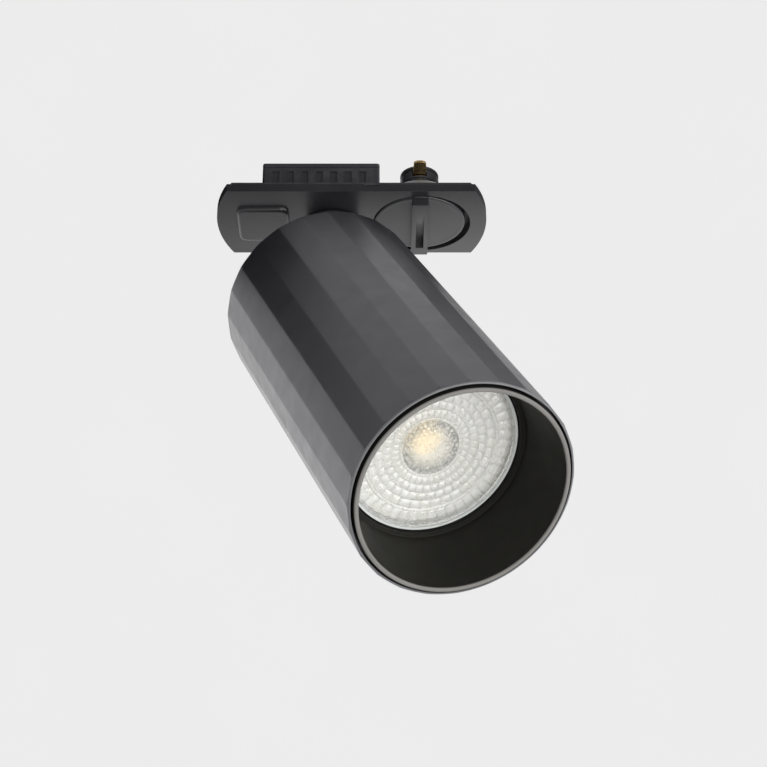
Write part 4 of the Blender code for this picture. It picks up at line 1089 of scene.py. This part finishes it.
# Light by direction: the way it grows, then where that starts and ends, and its strength at each.
SIDE_LIGHT = ((0, 1, 0), (-0.75, -0.05, 0.18, 1.07))
GLOW_LIGHT = ((-0.35, 0.88, 0.25), (0.75, 0.97, 0.0, 0.42))
LOW_FILL_PLACE = (0.9, -0.9, -0.6)
LOW_FILL_TARGET = (0, 0, -0.08)
LOW_FILL_SIZE = (1.9, 1.3)
LOW_FILL_WATTS = 22.0


def camera():
    data = bpy.data.cameras.new("camera")
    data.lens = CAMERA_LENS
    data.sensor_width = SENSOR
    made = bpy.data.objects.new("camera", data)
    made.location = CAMERA_PLACE
    made.rotation_euler = (math.pi / 2 + CAMERA_RISE, 0, 0)
    SCENE.collection.objects.link(made)
    SCENE.camera = made


def plain(name, grey, emission=0.0):
    """A plain grey stage material with a faint unevenness."""
    graph = Graph(name, {"Roughness": 0.9, "Specular IOR Level": 0.1, "Emission Strength": emission})
    tone = graph.mix(graph.noise(0.3, 2.0), shade((grey,) * 3, 0.99), shade((grey,) * 3, 1.01))
    graph.use("Base Color", (0, 0, 0, 1) if emission else tone)
    graph.use("Emission Color", tone)
    return graph.material


def stage_piece(name, mesh, surface):
    made = bpy.data.objects.new(name, mesh)
    mesh.materials.append(surface)
    SCENE.collection.objects.link(made)
    return made


def floor_and_backdrop():
    """A pale floor under the hanging spotlight, and a pale backdrop all round that only the camera sees."""
    floor = [(0, FLOOR_Z), (FLOOR_RADIUS, FLOOR_Z), (FLOOR_RADIUS, FLOOR_Z - 0.02), (0, FLOOR_Z - 0.02)]
    stage_piece("floor", lathe(floor), plain("floor", FLOOR_GREY))
    dome = bmesh.new()
    bmesh.ops.create_uvsphere(dome, u_segments=48, v_segments=24, radius=BACKDROP_RADIUS)
    backdrop = stage_piece("backdrop", mesh_of(dome), plain("backdrop", BACKDROP_GREY, 1.0))
    backdrop.visible_diffuse = False
    backdrop.visible_glossy = False
    backdrop.visible_transmission = False
    backdrop.visible_shadow = False


def flag(name, low, high, grey):
    """A dark card that the camera doesn't see. It darkens reflections and shades the object."""
    made = stage_piece(name, block(low, high), plain(name, grey))
    made.visible_camera = False


def flags():
    """Cards beside and above the adapter, for the dark track that it hangs in."""
    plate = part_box("adapter_plate")[1]
    end = plate.x + MM
    flag("flag_left", (-0.6, -0.036, 0), (-end, plate.y, 0.035), 0.01)
    flag("flag_right", (end, -plate.y, 0), (0.6, plate.y, 0.035), 0.2)
    flag("flag_above", (-0.06, -0.02, 0.036), (0.012, 0.02, 0.04), 0.01)


def low_fill():
    """A broad soft light, low on the right in front."""
    data = bpy.data.lights.new("low_fill", "AREA")
    data.shape = "RECTANGLE"
    data.size, data.size_y = LOW_FILL_SIZE
    data.energy = LOW_FILL_WATTS
    made = bpy.data.objects.new("low_fill", data)
    made.location = LOW_FILL_PLACE
    aim = Vector(LOW_FILL_TARGET) - Vector(LOW_FILL_PLACE)
    made.rotation_euler = aim.to_track_quat("-Z", "Y").to_euler()
    SCENE.collection.objects.link(made)


def studio():
    """Soft light from all round: weaker from the front, stronger from behind on the left."""
    world = bpy.data.worlds.new("studio")
    world.use_nodes = True
    nodes = world.node_tree.nodes
    join = world.node_tree.links.new
    direction = nodes.new("ShaderNodeTexCoord").outputs["Generated"]
    total = nodes.new("ShaderNodeMath")
    for slot, (way, ramp) in enumerate((SIDE_LIGHT, GLOW_LIGHT)):
        along = nodes.new("ShaderNodeVectorMath")
        along.operation = "DOT_PRODUCT"
        along.inputs[1].default_value = Vector(way).normalized()
        join(direction, along.inputs[0])
        strength = nodes.new("ShaderNodeMapRange")
        strength.interpolation_type = "SMOOTHSTEP"
        for socket, value in zip(strength.inputs[1:5], ramp):
            socket.default_value = value
        join(along.outputs["Value"], strength.inputs[0])
        join(strength.outputs[0], total.inputs[slot])
    background = nodes["Background"]
    background.inputs["Color"].default_value = (1, 1, 1, 1)
    join(total.outputs[0], background.inputs["Strength"])
    SCENE.world = world


camera()
face_plate()
track_housing()
lid()
hook()
earth_leaf()
knob()
knob_stack()
stem()
knuckle()
faceted_body()
front_ring()
lens()
bezel()
led()
rear_cap()
grommet()
hinge()
all_screws()
carried_over()
floor_and_backdrop()
flags()
studio()
low_fill()
SCENE.view_settings.view_transform = "Standard"
